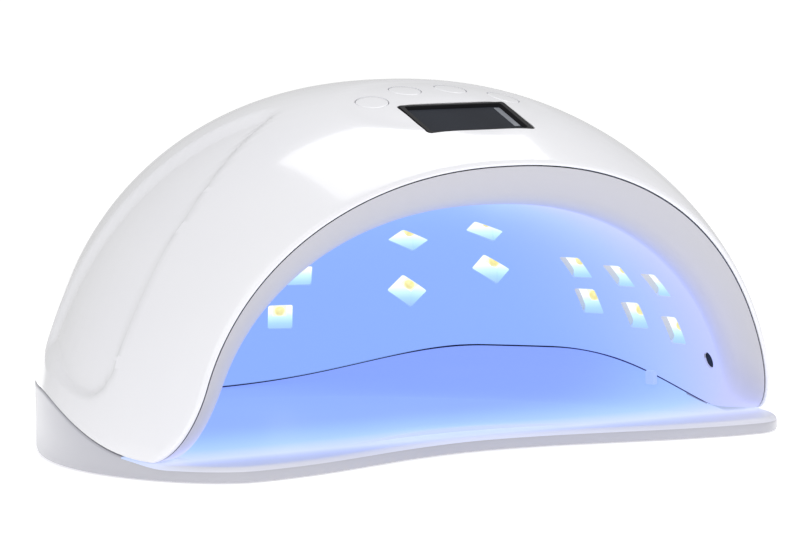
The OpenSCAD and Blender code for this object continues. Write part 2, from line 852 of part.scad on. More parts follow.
module board_parts() {
    color(black)
    on_buttons()
        translate([0, board_low, -board_drop]) {
            for (side = [-1, 1]) {
                translate([side * 26, 9, 0])
                    cylinder(d = 8, h = 6.5, $fn = fine);
                translate([side * 12 - 6, 12, 0])
                    cube([12, 9, 1.5]);
            }
            translate([-5, 3, 0])
                cube([10, 6, 4]);
            translate([30, 27, 0])
                cube([5, 9, 5]);
        }
}

// ---- Power inlet ----
module dc_jack() {
    color(black)
    difference() {
        union() {
            translate([-jack_body[0] / 2, jack_body_y - jack_body[1], jack_z - jack_body[2] / 2])
                cube(jack_body);
            translate([0, jack_body_y, jack_z])
                rotate([-90, 0, 0])
                    cylinder(d = jack_collar_d, h = jack_face_y - jack_body_y, $fn = fine);
        }
        translate([0, jack_face_y - jack_depth, jack_z])
            rotate([-90, 0, 0])
                cylinder(d = jack_bore_d, h = jack_depth + 1, $fn = fine);
    }
}

module jack_pin() {
    color(steel)
    translate([0, jack_face_y - jack_depth, jack_z])
        rotate([-90, 0, 0])
            cylinder(d = jack_pin_d, h = jack_depth - 1, $fn = fine);
}

// ---- Wiring from the board over the cavity to the inlet ----
wire_d = 2.6;
wire_x = 3;
function mid_gap(y) = (roof_h(y, wall) + cavity_roof(y, wall)) / 2;
wire_ys = [crown_y - 1, crown_y + 25, crown_y + 55, crown_y + 85, crown_y + 108];
wire_pts = concat([for (y = wire_ys) [wire_x, y, mid_gap(y)]],
                  [[wire_x, jack_body_y - 3, jack_z + jack_body[2] / 2 + wire_d / 2 + 2]]);
module wiring_harness() {
    color("firebrick")
    for (i = [0 : len(wire_pts) - 2]) {
        a = wire_pts[i];
        d = wire_pts[i + 1] - a;
        translate(a) {
            sphere(d = wire_d + 0.6, $fn = fine);
            rotate([0, acos(d[2] / norm(d)), atan2(d[1], d[0])])
                cylinder(d = wire_d, h = norm(d), $fn = fine);
        }
    }
}

base_tray();
base_cover();
base_screws();
rubber_feet();
tray_magnets();
outer_shell();
inner_reflector();
dome_rim();
dome_magnets();
rim_screws();
display_frame();
display_window();
lcd_module();
button_10s();
button_30s();
button_60s();
button_99s();
button_guide();
return_pads();
tact_switches();
control_board();
board_parts();
led_cups_left();
led_cups_right();
led_boards_left();
led_boards_right();
led_beads_left();
led_beads_right();
led_lenses_left();
led_lenses_right();
ir_emitter();
ir_receiver();
dc_jack();
jack_pin();
wiring_harness();
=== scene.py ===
# %% [markdown]
# # A dome lamp that cures gel nail polish
# The lamp is a glossy white dome with an arched hand opening. It stands on a loose white tray. Blue-violet
# light fills the cavity inside. The dome's joints, screws and boards come from a CAD model, and this script
# gives that model its smooth shells, its finishes and its light. Every length is in metres once it is in a
# mesh; the shape formulas below think in millimetres, as the maker's drawing does.

# %% Load the frame
import json
import math

import bmesh
import bpy
import numpy as np
from mathutils import Matrix, Vector

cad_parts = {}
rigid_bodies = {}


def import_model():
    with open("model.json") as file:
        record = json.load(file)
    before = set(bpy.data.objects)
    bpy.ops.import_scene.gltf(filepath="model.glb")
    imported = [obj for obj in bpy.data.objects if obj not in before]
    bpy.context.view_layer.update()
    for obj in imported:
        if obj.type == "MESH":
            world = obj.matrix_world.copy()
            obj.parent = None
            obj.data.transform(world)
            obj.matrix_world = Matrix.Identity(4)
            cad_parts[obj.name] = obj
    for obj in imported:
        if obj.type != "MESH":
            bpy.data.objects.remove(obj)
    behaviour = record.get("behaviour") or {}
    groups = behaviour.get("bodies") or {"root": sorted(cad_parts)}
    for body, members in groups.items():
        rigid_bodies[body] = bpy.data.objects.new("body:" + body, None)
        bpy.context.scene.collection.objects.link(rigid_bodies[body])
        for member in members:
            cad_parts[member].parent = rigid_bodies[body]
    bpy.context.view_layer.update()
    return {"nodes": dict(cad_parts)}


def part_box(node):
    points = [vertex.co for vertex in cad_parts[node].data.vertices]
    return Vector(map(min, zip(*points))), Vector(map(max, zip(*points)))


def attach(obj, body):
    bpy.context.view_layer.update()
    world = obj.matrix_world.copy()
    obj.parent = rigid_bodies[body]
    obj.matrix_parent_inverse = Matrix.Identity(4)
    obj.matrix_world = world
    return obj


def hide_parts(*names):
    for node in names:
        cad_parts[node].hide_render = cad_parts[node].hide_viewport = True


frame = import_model()
nodes = frame["nodes"]
MM = 0.001

# %% [markdown]
# ## The camera
# A product like this is photographed from slightly above its own height, a third of a turn to one side, and
# from far away, so that the dome isn't distorted. A long lens does that. The aim point lies inside the dome.
# A small roll stands for the tripod's own lean.

# %% Camera
scene = bpy.context.scene
turn = math.radians(-34.37)
elevation = math.radians(4.09)
roll = math.radians(-1.0)
camera_distance = 1.346
aim = Vector((0.0248, -0.0050, 0.0471))

forward = Vector((-math.sin(turn) * math.cos(elevation), math.cos(turn) * math.cos(elevation), -math.sin(elevation)))
level_right = Vector((math.cos(turn), math.sin(turn), 0))
level_up = level_right.cross(forward)
right = level_right * math.cos(roll) + level_up * math.sin(roll)
up = level_up * math.cos(roll) - level_right * math.sin(roll)

camera = bpy.data.objects.new("camera", bpy.data.cameras.new("camera"))
scene.collection.objects.link(camera)
camera.matrix_world = Matrix.Translation(aim - forward * camera_distance) @ Matrix(
    [[right.x, up.x, -forward.x, 0], [right.y, up.y, -forward.y, 0], [right.z, up.z, -forward.z, 0], [0, 0, 0, 1]])
camera.data.lens = 189
camera.data.sensor_width = 36
scene.camera = camera
print("camera at", [round(v, 3) for v in camera.matrix_world.translation])

# %% [markdown]
# ## Driving sizes
# The CAD boxes give the overall sizes, so that the smooth shells land exactly where the solids are. The
# other values are the maker's own: how far back the widest place is, how the roof falls, how wide the
# band around the opening is.

# %% Sizes from the frame
tray_low, tray_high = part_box("base_tray")
half_w = tray_high.x / MM
front_y = tray_low.y / MM
back_y = tray_high.y / MM
body_h = 112.5
wall = 2.0

wide_y = front_y + 51
crown_y = front_y + 66.5
lip_y = front_y + 2
seam_peak_y = front_y + 114
corner_x = 92.5
wave = 20
plan_taper = 0.18
roof_taper = 0.1
roof_drop = 24
roof_fall = 2.1
dome_inset = 0.4
joint_gap = 0.3
seam_gap = 0.4
tray_h = 5
seam_rise = 16
seam_flat = 22
seam_half = 82
print("tray half width", round(half_w, 2), "from", round(front_y, 2), "to", round(back_y, 2))

# %% [markdown]
# ## The dome's formula
# The dome is a stack of arches, one for each station along its depth. Each arch is a superellipse: an
# ellipse whose exponent is a little above 2, so that its shoulders are fuller. Two outlines drive it: the
# plan, which gives an arch its width, and the roof line, which gives it its height. Formulas beat sculpting
# here, because the tray, the shell and the cavity all have to follow the same lines.

# %% Plan, roof and seam
def egg(u, taper):
    """Half an ellipse that narrows towards its far end, u from 0 to 1"""
    return np.sqrt(np.clip(1 - u * u, 0, 1)) * (1 - taper * np.sin(np.pi / 2 * u) ** 2)


def plan_w(y, inset=0.0):
    """Half width of the plan at station y, moved in by inset"""
    back = (half_w - inset) * egg(np.clip((y - wide_y) / (back_y - inset - wide_y), 0, 1), plan_taper)
    u = np.clip((wide_y - y) / (wide_y - front_y), 0, 1)
    front = corner_x + (half_w - corner_x) * np.sqrt(1 - u * u) - inset
    return np.where(y >= wide_y, back, front)


def roof_h(y, inset=0.0):
    """Height of the roof on the centre line at station y"""
    back = egg(np.clip((y - crown_y) / (back_y - dome_inset - inset - crown_y), 0, 1), roof_taper)
    fall = roof_drop * np.clip((crown_y - y) / (crown_y - lip_y), 0, None) ** roof_fall
    return np.where(y >= crown_y, (body_h - inset) * back, body_h - inset - fall)


def seam_z(y):
    """Height of the parting line between tray and dome"""
    near = np.clip((np.abs(y - seam_peak_y) - seam_flat / 2) / seam_half, 0, 1)
    return tray_h + seam_rise * (1 + np.cos(np.pi * near)) / 2


def arch(y, t, width, height, side_power, top_power, gap=seam_gap):
    """A point of the arch over station y; t runs from the seam on the right, over the top, to the left"""
    low = np.arcsin(np.clip((seam_z(y) + gap) / height, 0, 1) ** (top_power / 2))
    a = low + t * (np.pi - 2 * low)
    x = width * np.sign(np.cos(a)) * np.abs(np.cos(a)) ** (2 / side_power)
    return np.stack(np.broadcast_arrays(x, y, height * np.sin(a) ** (2 / top_power)), axis=-1)


arch_side = 2.22
arch_top = 2.08
flare_most = 2.2
flare_fade = 12


def flared(p, width, height, side_power, top_power, gap, reach):
    """Moves an arch's foot outwards, so that it stands over the tray; reach is how high that goes"""
    low = seam_z(p[..., 1]) + gap
    lean = width * (1 - (1 - np.clip(low / height, 0, 1) ** top_power) ** (1 / side_power))
    near = np.clip(1 - np.clip(p[..., 2] - low, 0, None) / reach, 0, 1) ** 2
    x = p[..., 0]
    p[..., 0] = x + np.sign(x) * np.minimum(lean, flare_most) * near * np.minimum(1, np.abs(x) / flare_fade)
    return p


def dome(y, t, inset=0.0):
    """A point of the dome's surface, or of a surface inset below it"""
    width, height = plan_w(y, inset + dome_inset), roof_h(y, inset)
    return flared(arch(y, t, width, height, arch_side, arch_top), width, height, arch_side, arch_top, seam_gap, 30)


print("roof at the lip", round(float(roof_h(lip_y)), 1), "seam peak", round(float(seam_z(seam_peak_y)), 1))

# %% [markdown]
# ## The opening's edge
# Seen from the side, the opening leans back towards the table, and its foot rounds back in a quarter
# ellipse. The edge's distance back depends on the height of the point, and the height on the distance, so a
# few rounds of trying again settle it.

# %% Lip and cavity lines
lip_lean = 9
lip_bow = 3
foot_h = 22
foot_d = 16
band_d = 8
cavity_gap = 16
cavity_h = 76
liner_gap = seam_gap + 0.15


def lip_at(z):
    """How far back the opening's edge lies at height z"""
    u = z / float(roof_h(lip_y))
    q = np.clip((tray_h + foot_h - z) / foot_h, 0, 1)
    return lip_y + lip_lean * (1 - u) + 4 * lip_bow * u * (1 - u) + foot_d * (1 - np.sqrt(1 - q * q))


def settle(surface, offset, rounds=8):
    """The station where a surface meets the opening's edge, moved back by offset"""
    y = lip_y + 0 * surface(lip_y)[..., 2]
    for _ in range(rounds):
        y = lip_at(surface(y)[..., 2]) + offset
    return y


def cavity(y, t, out=0.0):
    """A point of the cavity's wall, moved outwards by out; its foot flares out to stand over the tray's cove"""
    fall = 1.5 * np.clip((crown_y - y) / (crown_y - lip_y), 0, None) ** 2
    back = (cavity_h + out) * egg(np.clip((y - crown_y) / (back_y - cavity_gap + out - crown_y), 0, 1), 0)
    height = np.where(y < crown_y, cavity_h + out - fall, back)
    return flared(arch(y, t, plan_w(y, cavity_gap - out), height, 2.25, 2.15, liner_gap), plan_w(y, cavity_gap - out),
                  height, 2.25, 2.15, liner_gap, 14)


def last_station(surface, low, high, rise=0.3):
    """The station where a surface's crown comes down to the seam"""
    for _ in range(30):
        middle = (low + high) / 2
        above = surface(np.float64(middle), 0.5)[2] > seam_z(middle) + seam_gap + rise
        low, high = (middle, high) if above else (low, middle)
    return low


dome_end = last_station(dome, crown_y, back_y - dome_inset - 0.01)
cavity_end = last_station(cavity, crown_y, back_y - cavity_gap - 0.01)
print("dome ends at", round(dome_end, 2), "cavity at", round(cavity_end, 2))

# %% [markdown]
# ## Mesh helpers
# A shell is a grid of points. Its rows go round a closed loop: back along the inside, over the rounded lip,
# and back along the outside. The two ends of the grid's columns lie on the seam, where the wall's edge is
# closed with a ladder of quads. The result is one watertight mesh, so that booleans cut it cleanly.

# %% Helpers for meshes
def make_object(name, points_mm, faces, smooth=True):
    """A mesh object from points in millimetres"""
    mesh = bpy.data.meshes.new(name)
    mesh.from_pydata((np.asarray(points_mm, float).reshape(-1, 3) * MM).tolist(), [], faces)
    mesh.validate()
    mesh.polygons.foreach_set("use_smooth", [smooth] * len(mesh.polygons))
    obj = bpy.data.objects.new(name, mesh)
    scene.collection.objects.link(obj)
    return obj


def tidy_mesh(obj, angle=35, merge=0.002):
    """Merges doubled points, turns faces outwards and keeps edges sharper than angle crisp"""
    build = bmesh.new()
    build.from_mesh(obj.data)
    bmesh.ops.remove_doubles(build, verts=build.verts, dist=merge * MM)
    bmesh.ops.dissolve_degenerate(build, edges=build.edges, dist=merge * MM)
    bmesh.ops.recalc_face_normals(build, faces=build.faces)
    build.to_mesh(obj.data)
    build.free()
    obj.data.polygons.foreach_set("use_smooth", [True] * len(obj.data.polygons))
    obj.data.set_sharp_from_angle(angle=math.radians(angle))


def loop_shell(name, rows):
    """A closed shell from rows that go round a loop; the columns' ends are closed with a ladder"""
    count, width = rows.shape[:2]
    faces = []
    for r in range(count):
        s = (r + 1) % count
        faces += [(r * width + c, r * width + c + 1, s * width + c + 1, s * width + c) for c in range(width - 1)]
    for column in (0, width - 1):
        for r in range((count - 1) // 2):
            pair = [r, r + 1, count - 2 - r, count - 1 - r]
            face = [k * width + column for k in dict.fromkeys(pair)]
            if len(face) > 2:
                faces.append(tuple(face))
    obj = make_object(name, rows, faces)
    tidy_mesh(obj)
    return obj


def skin(name, rings):
    """A solid skinned over closed rings, with a flat cap at each end"""
    n = rings.shape[1]
    faces = [tuple(range(n)), tuple((len(rings) - 1) * n + j for j in reversed(range(n)))]
    for i in range(len(rings) - 1):
        faces += [(i * n + j, i * n + (j + 1) % n, (i + 1) * n + (j + 1) % n, (i + 1) * n + j) for j in range(n)]
    obj = make_object(name, rings, faces)
    tidy_mesh(obj)
    return obj


def smoothstep(x):
    x = np.clip(x, 0, 1)
    return x * x * (3 - 2 * x)


def cut(obj, cutters):
    """Cuts all the cutters out of obj and removes them"""
    for o in bpy.context.selected_objects:
        o.select_set(False)
    for cutter in cutters:
        cutter.select_set(True)
    bpy.context.view_layer.objects.active = cutters[0]
    bpy.ops.object.join()
    modifier = obj.modifiers.new("cut", "BOOLEAN")
    modifier.operation = "DIFFERENCE"
    modifier.solver = "EXACT"
    modifier.object = cutters[0]
    bpy.context.view_layer.update()
    evaluated = obj.evaluated_get(bpy.context.evaluated_depsgraph_get())
    obj.data = bpy.data.meshes.new_from_object(evaluated)
    obj.modifiers.clear()
    bpy.data.objects.remove(cutters[0])
    tidy_mesh(obj, merge=0.001)
    return obj


print("mesh helpers ready")

# %% [markdown]
# ## Where things sit on the roof
# The display lies in a plane through two points of the roof's centre line. The four timer buttons stand on
# an arc behind it and press along the roof's normal between them.

# %% Places of the display and the buttons
display_w = 39.4
display_d = 18.4
display_sink = 1.4
display_y = front_y + 24.7
display_tilt = math.atan2(float(roof_h(display_y + display_d / 2) - roof_h(display_y - display_d / 2)), display_d)
display_place = Matrix.Translation((0, display_y, float(roof_h(display_y)) - display_sink)) @ Matrix.Rotation(
    display_tilt, 4, "X")

button_d = 10
button_pitch = 17
arc_r = 50
arc_y = display_y - 29.1
button_names = ["button_10s", "button_30s", "button_60s", "button_99s"]
button_angles = [(i - 1.5) * button_pitch / arc_r for i in range(4)]
button_spots = [(arc_r * math.sin(a), arc_y + arc_r * math.cos(a)) for a in button_angles]
buttons_y = (button_spots[0][1] + button_spots[1][1]) / 2
buttons_tilt = math.atan2(float(roof_h(buttons_y + 2) - roof_h(buttons_y - 2)), 4)
press = Vector((0, math.sin(buttons_tilt), -math.cos(buttons_tilt)))
print("display tilt", round(math.degrees(display_tilt), 1), "buttons tilt", round(math.degrees(buttons_tilt), 1))

# %% [markdown]
# ## Soft recesses in the dome
# Two shallow forms are pressed into the shell. An oval control area sinks under the display and the
# buttons. On each side a long petal sinks behind a crease that runs from the shoulder down to the seam.
# Both are made by moving the formula's points inwards by a smooth amount, which keeps the grid even and
# needs no boolean.

# %% Depth of the control area and of the side petals
panel_centre = (0.0, display_y + 12.0)
panel_radii = (39.0, 23.0)
panel_depth = 0.45
panel_edge = 5.0
petal_depth = 1.9
petal_spots = [(-46, 105), (-54, 96), (-60, 80), (-61, 60), (-59, 38), (-55, 26), (-44, 21.5), (-20, 25), (0, 28),
               (11, 33), (6, 46), (-6, 64), (-20, 84), (-34, 100)]


def curve_through(spots, steps=8):
    """A smooth closed line through a few points"""
    p = np.array(spots, float)
    line = []
    for i in range(len(p)):
        a, b, c, d = p[i - 1], p[i], p[(i + 1) % len(p)], p[(i + 2) % len(p)]
        for s in np.arange(steps) / steps:
            line.append(0.5 * (2 * b + (c - a) * s + (2 * a - 5 * b + 4 * c - d) * s**2 + (3 * b - a - 3 * c + d) * s**3))
    return np.array(line)


def inside_distance(line, points):
    """Distance from each point to a closed line, positive inside it"""
    best = np.full(len(points), 1e9)
    crossings = np.zeros(len(points), int)
    for a, b in zip(line, np.roll(line, -1, axis=0)):
        along = np.clip(((points - a) @ (b - a)) / max(1e-9, (b - a) @ (b - a)), 0, 1)
        best = np.minimum(best, np.linalg.norm(points - a - along[:, None] * (b - a), axis=1))
        if a[1] != b[1]:
            x = a[0] + (points[:, 1] - a[1]) / (b[1] - a[1]) * (b[0] - a[0])
            crossings += ((points[:, 1] > min(a[1], b[1])) & (points[:, 1] <= max(a[1], b[1])) & (x > points[:, 0]))
    return np.where(crossings % 2 == 1, best, -best)


petal_line = curve_through(petal_spots)


def panel_mask(p):
    """1 in the control area, 0 outside it"""
    r = np.hypot((p[..., 0] - panel_centre[0]) / panel_radii[0], (p[..., 1] - panel_centre[1]) / panel_radii[1])
    return smoothstep((1 - r) * panel_radii[1] / panel_edge) * (p[..., 2] > body_h / 2)


def recess(p):
    """How deep the dome's surface is pressed in at its points"""
    tilt = math.tan(display_tilt)
    plane_z = float(roof_h(display_y)) - display_sink + 0.05 + (p[..., 1] - display_y) * tilt
    down_to_plane = (p[..., 2] - plane_z) * math.cos(display_tilt)
    near = smoothstep((display_y + display_d / 2 + 7 - p[..., 1]) / 7)
    deep = np.maximum(panel_depth, down_to_plane * near)
    side = np.stack([p[..., 1], p[..., 2]], axis=-1).reshape(-1, 2)
    distance = inside_distance(petal_line, side).reshape(p.shape[:-1])
    width = 2.6 + 5.0 * smoothstep((p[..., 1] + 30) / 30)
    petal = petal_depth * smoothstep(distance / width)
    return panel_mask(p) * deep + petal


def grid_normals(p):
    """Normals of a grid of points, outwards on the dome"""
    n = np.cross(np.gradient(p, axis=1), np.gradient(p, axis=0))
    length = np.linalg.norm(n, axis=-1, keepdims=True)
    n = n / np.where(length > 1e-9, length, 1)
    middle = n[n.shape[0] // 2, n.shape[1] // 2]
    return n if middle[2] > 0 else -n


print("petal outline", len(petal_line), "points")

# %% [markdown]
# ## The dome shell
# The real shell is one glossy injection moulding with a 2 mm wall and a fully rounded lip. The columns of
# its grid crowd towards the seam with a cosine, because the lip's foot turns fastest there.

# %% Dome shell
lip_steps = 8


def shell_rows(inset, rows, columns, offset):
    """Rows of points from the lip to the back, at a depth below the outside"""
    t = (1 - np.cos(np.linspace(0, np.pi, columns))) / 2
    first = settle(lambda y: dome(y, t, inset), offset)
    end = last_station(lambda y, s: dome(y, s, inset), crown_y, back_y - dome_inset - inset - 0.01)
    s = np.sin(np.linspace(0, np.pi / 2, rows))[:, None]
    y = first[None, :] + (end - first[None, :]) * s
    return dome(y, t[None, :], inset)


def dome_shell_rows(rows=120, columns=300):
    outer = shell_rows(0.0, rows, columns, wall / 2)
    inner = shell_rows(wall, rows, columns, wall / 2)
    outer = outer - grid_normals(outer) * recess(outer)[..., None]
    middle = (outer[0] + inner[0]) / 2
    across = (outer[0] - inner[0]) / 2
    ahead = outer[0] - outer[1]
    ahead = ahead / np.linalg.norm(ahead, axis=-1, keepdims=True) * (wall / 2)
    turns = np.linspace(-np.pi / 2, np.pi / 2, lip_steps + 1)[1:-1]
    lip = np.stack([middle + across * math.sin(a) + ahead * math.cos(a) for a in turns])
    return np.concatenate([inner[::-1], lip, outer])


dome_shell = loop_shell("dome_shell", dome_shell_rows())
print("dome shell:", len(dome_shell.data.polygons), "faces")

# %% [markdown]
# ## Openings in the shell
# The display sits in a rectangle with small corner rounds, each button in a round hole with a hairline
# gap, the power inlet in a round hole low at the back, and ten slots beside it let warm air out. Each
# opening is a prism that a boolean takes away.

# %% Prisms and the shell's openings
def prism(name, outline, low, high, place=None):
    """A prism over an outline in the XY plane, put in place by a matrix; all in millimetres"""
    place = place or Matrix.Identity(4)
    n = len(outline)
    points = [place @ Vector((x, y, z)) for z in (low, high) for x, y in outline]
    faces = [tuple(reversed(range(n))), tuple(range(n, 2 * n))]
    faces += [(j, (j + 1) % n, n + (j + 1) % n, n + j) for j in range(n)]
    return make_object(name, np.array([list(p) for p in points]), faces, smooth=False)


def rounded_rectangle(w, d, r, steps=6):
    """Outline of a rectangle with round corners"""
    line = []
    for corner, (sx, sy) in enumerate(((1, 1), (-1, 1), (-1, -1), (1, -1))):
        for k in range(steps + 1):
            a = math.pi / 2 * (corner + k / steps)
            line.append((sx * (w / 2 - r) + r * math.cos(a), sy * (d / 2 - r) + r * math.sin(a)))
    return line


def circle(r, steps=96):
    return [(r * math.cos(2 * math.pi * k / steps), r * math.sin(2 * math.pi * k / steps)) for k in range(steps)]


def roof_point(x, y):
    """The dome's surface over a place in the plan, before any recess"""
    rise = (1 - (np.abs(x) / plan_w(y, dome_inset)) ** arch_side) ** (1 / arch_top)
    return np.stack([x, y, roof_h(y) * rise], axis=-1)


button_gap = 0.2
jack_z = 25
jack_d = 9.6
vent_xs = [side * (14 + 5 * i) for side in (-1, 1) for i in range(5)]
backwards = Matrix.Rotation(math.radians(-90), 4, "X")
press_turn = Matrix.Rotation(buttons_tilt, 4, "X")

cutters = [prism("display_cut", rounded_rectangle(display_w + 0.5, display_d + 0.5, 1.4), -6, 12, display_place)]
for x, y in button_spots:
    cutters.append(prism("button_cut", circle(button_d / 2 + button_gap), -10, 10,
                         Matrix.Translation(roof_point(x, y)) @ press_turn))
cutters.append(prism("jack_cut", circle(jack_d / 2, 48), 0, 40, Matrix.Translation((0, back_y - 25, jack_z)) @ backwards))
vent_outline = [(math.cos(a), math.sin(a) - (8 if math.sin(a) < 0 else -8))
                for a in np.linspace(0, 2 * np.pi, 24, endpoint=False) + 0.01]
for x in vent_xs:
    cutters.append(prism("vent_cut", vent_outline, 0, 80, Matrix.Translation((x, back_y - 60, 54)) @ backwards))
cut(dome_shell, cutters)
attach(dome_shell, "dome")
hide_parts("outer_shell")
print("dome shell after the openings:", len(dome_shell.data.polygons), "faces")

# %% [markdown]
# ## The liner
# Behind the lip a satin band turns into the cavity's wall. Band and wall are one moulding, so they are one
# mesh here too: rows run from a small return behind the shell's lip, over the band, round a soft corner,
# and along the cavity to its back. The corner is a Bezier curve, because the light wraps round it.

# %% Liner
corner_reach = 4.5


def bezier(a, b, c, steps):
    """Points on a curve from a to c that is pulled towards b"""
    s = np.linspace(0, 1, steps)[:, None, None]
    return a * (1 - s) ** 2 + 2 * b * s * (1 - s) + c * s * s


def liner_rows(out, edge_inset, back_step, columns=220, rows=70):
    t = (1 - np.cos(np.linspace(0, np.pi, columns))) / 2
    edge_y = settle(lambda y: dome(y, t, edge_inset), 1 + back_step)
    edge = dome(edge_y, t, edge_inset)
    corner_y = settle(lambda y: cavity(y, t, out), band_d)
    corner = cavity(corner_y, t, out)
    s = np.linspace(0, 0.7, 12)[:, None, None]
    band = edge * (1 - s) + corner * s
    band[..., 1:2] += (s * s - s) * band_d * 0.47
    inside_y = corner_y + corner_reach
    bend = bezier(band[-1], corner, cavity(inside_y, t, out), 9)
    end = last_station(lambda y, k: cavity(y, k, out), crown_y, back_y - cavity_gap + out - 0.01)
    k = np.sin(np.linspace(0, np.pi / 2, rows))[:, None]
    wall_rows = cavity(inside_y[None, :] + (end - inside_y[None, :]) * k, t[None, :], out)
    flange = np.stack([edge + np.array([0, 3.0, 0]), edge + np.array([0, 0.5, 0])])
    return np.concatenate([flange, band, bend[1:-1], wall_rows])


front_rows = liner_rows(0.0, wall + joint_gap, -0.45)
back_rows = liner_rows(wall, wall + joint_gap + 1.4, 1.6)
liner = loop_shell("cavity_liner", np.concatenate([back_rows[::-1], front_rows]))
print("liner:", len(liner.data.polygons), "faces")

# %% [markdown]
# ## LED windows
# Each LED looks into the cavity through a square window, at the bottom of a short funnel. The windows follow
# the wall, so each needs its own frame of directions: along the wall, up the wall and outwards. The frame
# comes from the wall's formula, and the left side is the right side mirrored. The four windows at the back
# stand on their corners.

# %% Window frames
window = 9.5
led_pitch = 17
led_sites = [(front_y + 41.7 + i * led_pitch, 45 + i * 2.2, 0) for i in range(3)]
led_sites += [(front_y + 46 + i * led_pitch, 29.8 + i * 4, 0) for i in range(3)]
led_sites += [(front_y + 95, 61.5, 45), (front_y + 122.5, 58, 45), (front_y + 108, 48, 45),
              (front_y + 138.5, 40, 45), (front_y + 159, 45.5, 0), (front_y + 172.5, 31, 0)]
sensor_site = (front_y + 30, 21, 0)


def wall_point(y, z):
    """A point of the cavity's right wall at station y and height z"""
    back = cavity_h * float(egg(np.clip((y - crown_y) / (back_y - cavity_gap - crown_y), 0, 1), 0))
    height = back if y >= crown_y else cavity_h - 1.5 * ((crown_y - y) / (crown_y - lip_y)) ** 2
    x = float(plan_w(np.float64(y), cavity_gap)) * (1 - (z / height) ** 2.15) ** (1 / 2.25)
    return Vector((x, y, z))


def wall_frame(site, side):
    """The matrix that puts a piece on the wall: x along it, y up it, z outwards, turned as its site says"""
    y, z, spin = site
    along = (wall_point(y + 1, z) - wall_point(y - 1, z)).normalized()
    out = along.cross(wall_point(y, z + 1) - wall_point(y, z - 1)).normalized()
    up_wall = along.cross(out) * -1
    p = wall_point(y, z)
    m = Matrix(((along.x, up_wall.x, out.x, p.x), (along.y, up_wall.y, out.y, p.y),
                (along.z, up_wall.z, out.z, p.z), (0, 0, 0, 1)))
    return Matrix.Diagonal((side, 1, 1, 1)) @ m @ Matrix.Rotation(math.radians(spin), 4, "Z")


cutters = []
for side in (-1, 1):
    for site in led_sites:
        across = window - 1.2 if site[2] == 0 else window + 0.4
        cutters.append(prism("window_cut", rounded_rectangle(across, window + 0.4, 0.8, 4), -3, 5,
                             wall_frame(site, side)))
    cutters.append(prism("sensor_cut", circle(2.8, 32), -3, 5, wall_frame(sensor_site, side)))
for cutter in cutters:
    build = bmesh.new()
    build.from_mesh(cutter.data)
    bmesh.ops.recalc_face_normals(build, faces=build.faces)
    build.to_mesh(cutter.data)
    build.free()
cut(liner, cutters)
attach(liner, "dome")
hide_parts("inner_reflector")
print("liner with", 2 * len(led_sites), "windows:", len(liner.data.polygons), "faces")

# %% [markdown]
# ## Funnels behind the windows
# A funnel is a skin over rounded squares. It starts at the floor that carries the LED, widens to the
# window, folds over and runs back down its outside. Its floor sits a little high, so that the lower side
# is a longer, softer ramp. The UV map stores how high a point lies in its window, which the light uses.

# %% LED funnels
funnel_rings = [(2.9, 4.5, 1.3), (3.4, 4.0, 1.2), (4.2, 2.0, 0.6), (4.85, 0.15, 0.0), (5.0, 0.15, 0.0),
                (5.0, 2.3, 0.0), (5.7, 2.8, 0.0), (5.7, 4.55, 0.0)]


def funnels(name, side):
    """All the funnels of one side as one mesh"""
    points, faces, heights = [], [], []
    for site in led_sites:
        place = wall_frame(site, side)
        start = len(points)
        n = 0
        for half, depth, shift in funnel_rings:
            line = rounded_rectangle(2 * half, 2 * half, 0.7, 4)
            n = len(line)
            lift = shift * Vector((math.sin(math.radians(site[2])), math.cos(math.radians(site[2])), 0))
            for x, y in line:
                p = place @ (Vector((x, y, depth)) + lift)
                points.append(list(p))
                heights.append((p.z - site[1]) / window + 0.5)
        faces.append(tuple(start + j for j in range(n)))
        faces.append(tuple(start + (len(funnel_rings) - 1) * n + j for j in reversed(range(n))))
        for i in range(len(funnel_rings) - 1):
            a = start + i * n
            faces += [(a + j, a + (j + 1) % n, a + n + (j + 1) % n, a + n + j) for j in range(n)]
    obj = make_object(name, np.array(points), faces)
    layer = obj.data.uv_layers.new(name="UVMap")
    for loop in obj.data.loops:
        layer.data[loop.index].uv = (0.5, heights[loop.vertex_index])
    tidy_mesh(obj, angle=40)
    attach(obj, "dome")
    return obj


cups = {}
for side, word in ((-1, "left"), (1, "right")):
    cups[word] = funnels("led_funnels_" + word, side)
    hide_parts("led_cups_" + word)
    print(cups[word].name, len(cups[word].data.polygons), "faces")

# %% [markdown]
# ## The tray
# The tray is a shallow dish without a rim at its front. Its outline is an egg with a wave in its front edge
# for the wrist. From the flat floor a cove rises to the parting line, which climbs in a wave along the
# sides. Rings that follow the outline make it, each moved in by its own inset. A low lip just inside the
# dome's wall keeps daylight from showing through the parting gap.

# %% Tray
rim_w = cavity_gap - 0.2
cove_w = 22
tray_floor = tray_low.z / MM


def outline(inset):
    """The plan's outline moved in by inset, from the widest place on the right, counter-clockwise"""
    side, back, front = half_w - inset, back_y - inset - wide_y, wide_y - front_y - inset
    s = np.sin(np.linspace(0, np.pi, 241))
    c = np.cos(np.linspace(0, np.pi, 241))
    far = np.stack([side * c * (1 - plan_taper * np.sin(np.pi / 2 * s) ** 2), wide_y + back * s], axis=-1)
    a = np.linspace(0, np.pi / 2, 61)[1:]
    turn_x, turn_y = corner_x + (side - corner_x) * np.cos(a), wide_y - front * np.sin(a)
    x = np.linspace(-corner_x, corner_x, 121)[1:-1]
    near = np.stack([x, wide_y - front + wave * (1 + np.cos(np.pi * x / corner_x)) / 2], axis=-1)
    left = np.stack([-turn_x, turn_y], axis=-1)
    return np.concatenate([far, left, near, np.stack([turn_x, turn_y], axis=-1)[::-1]])


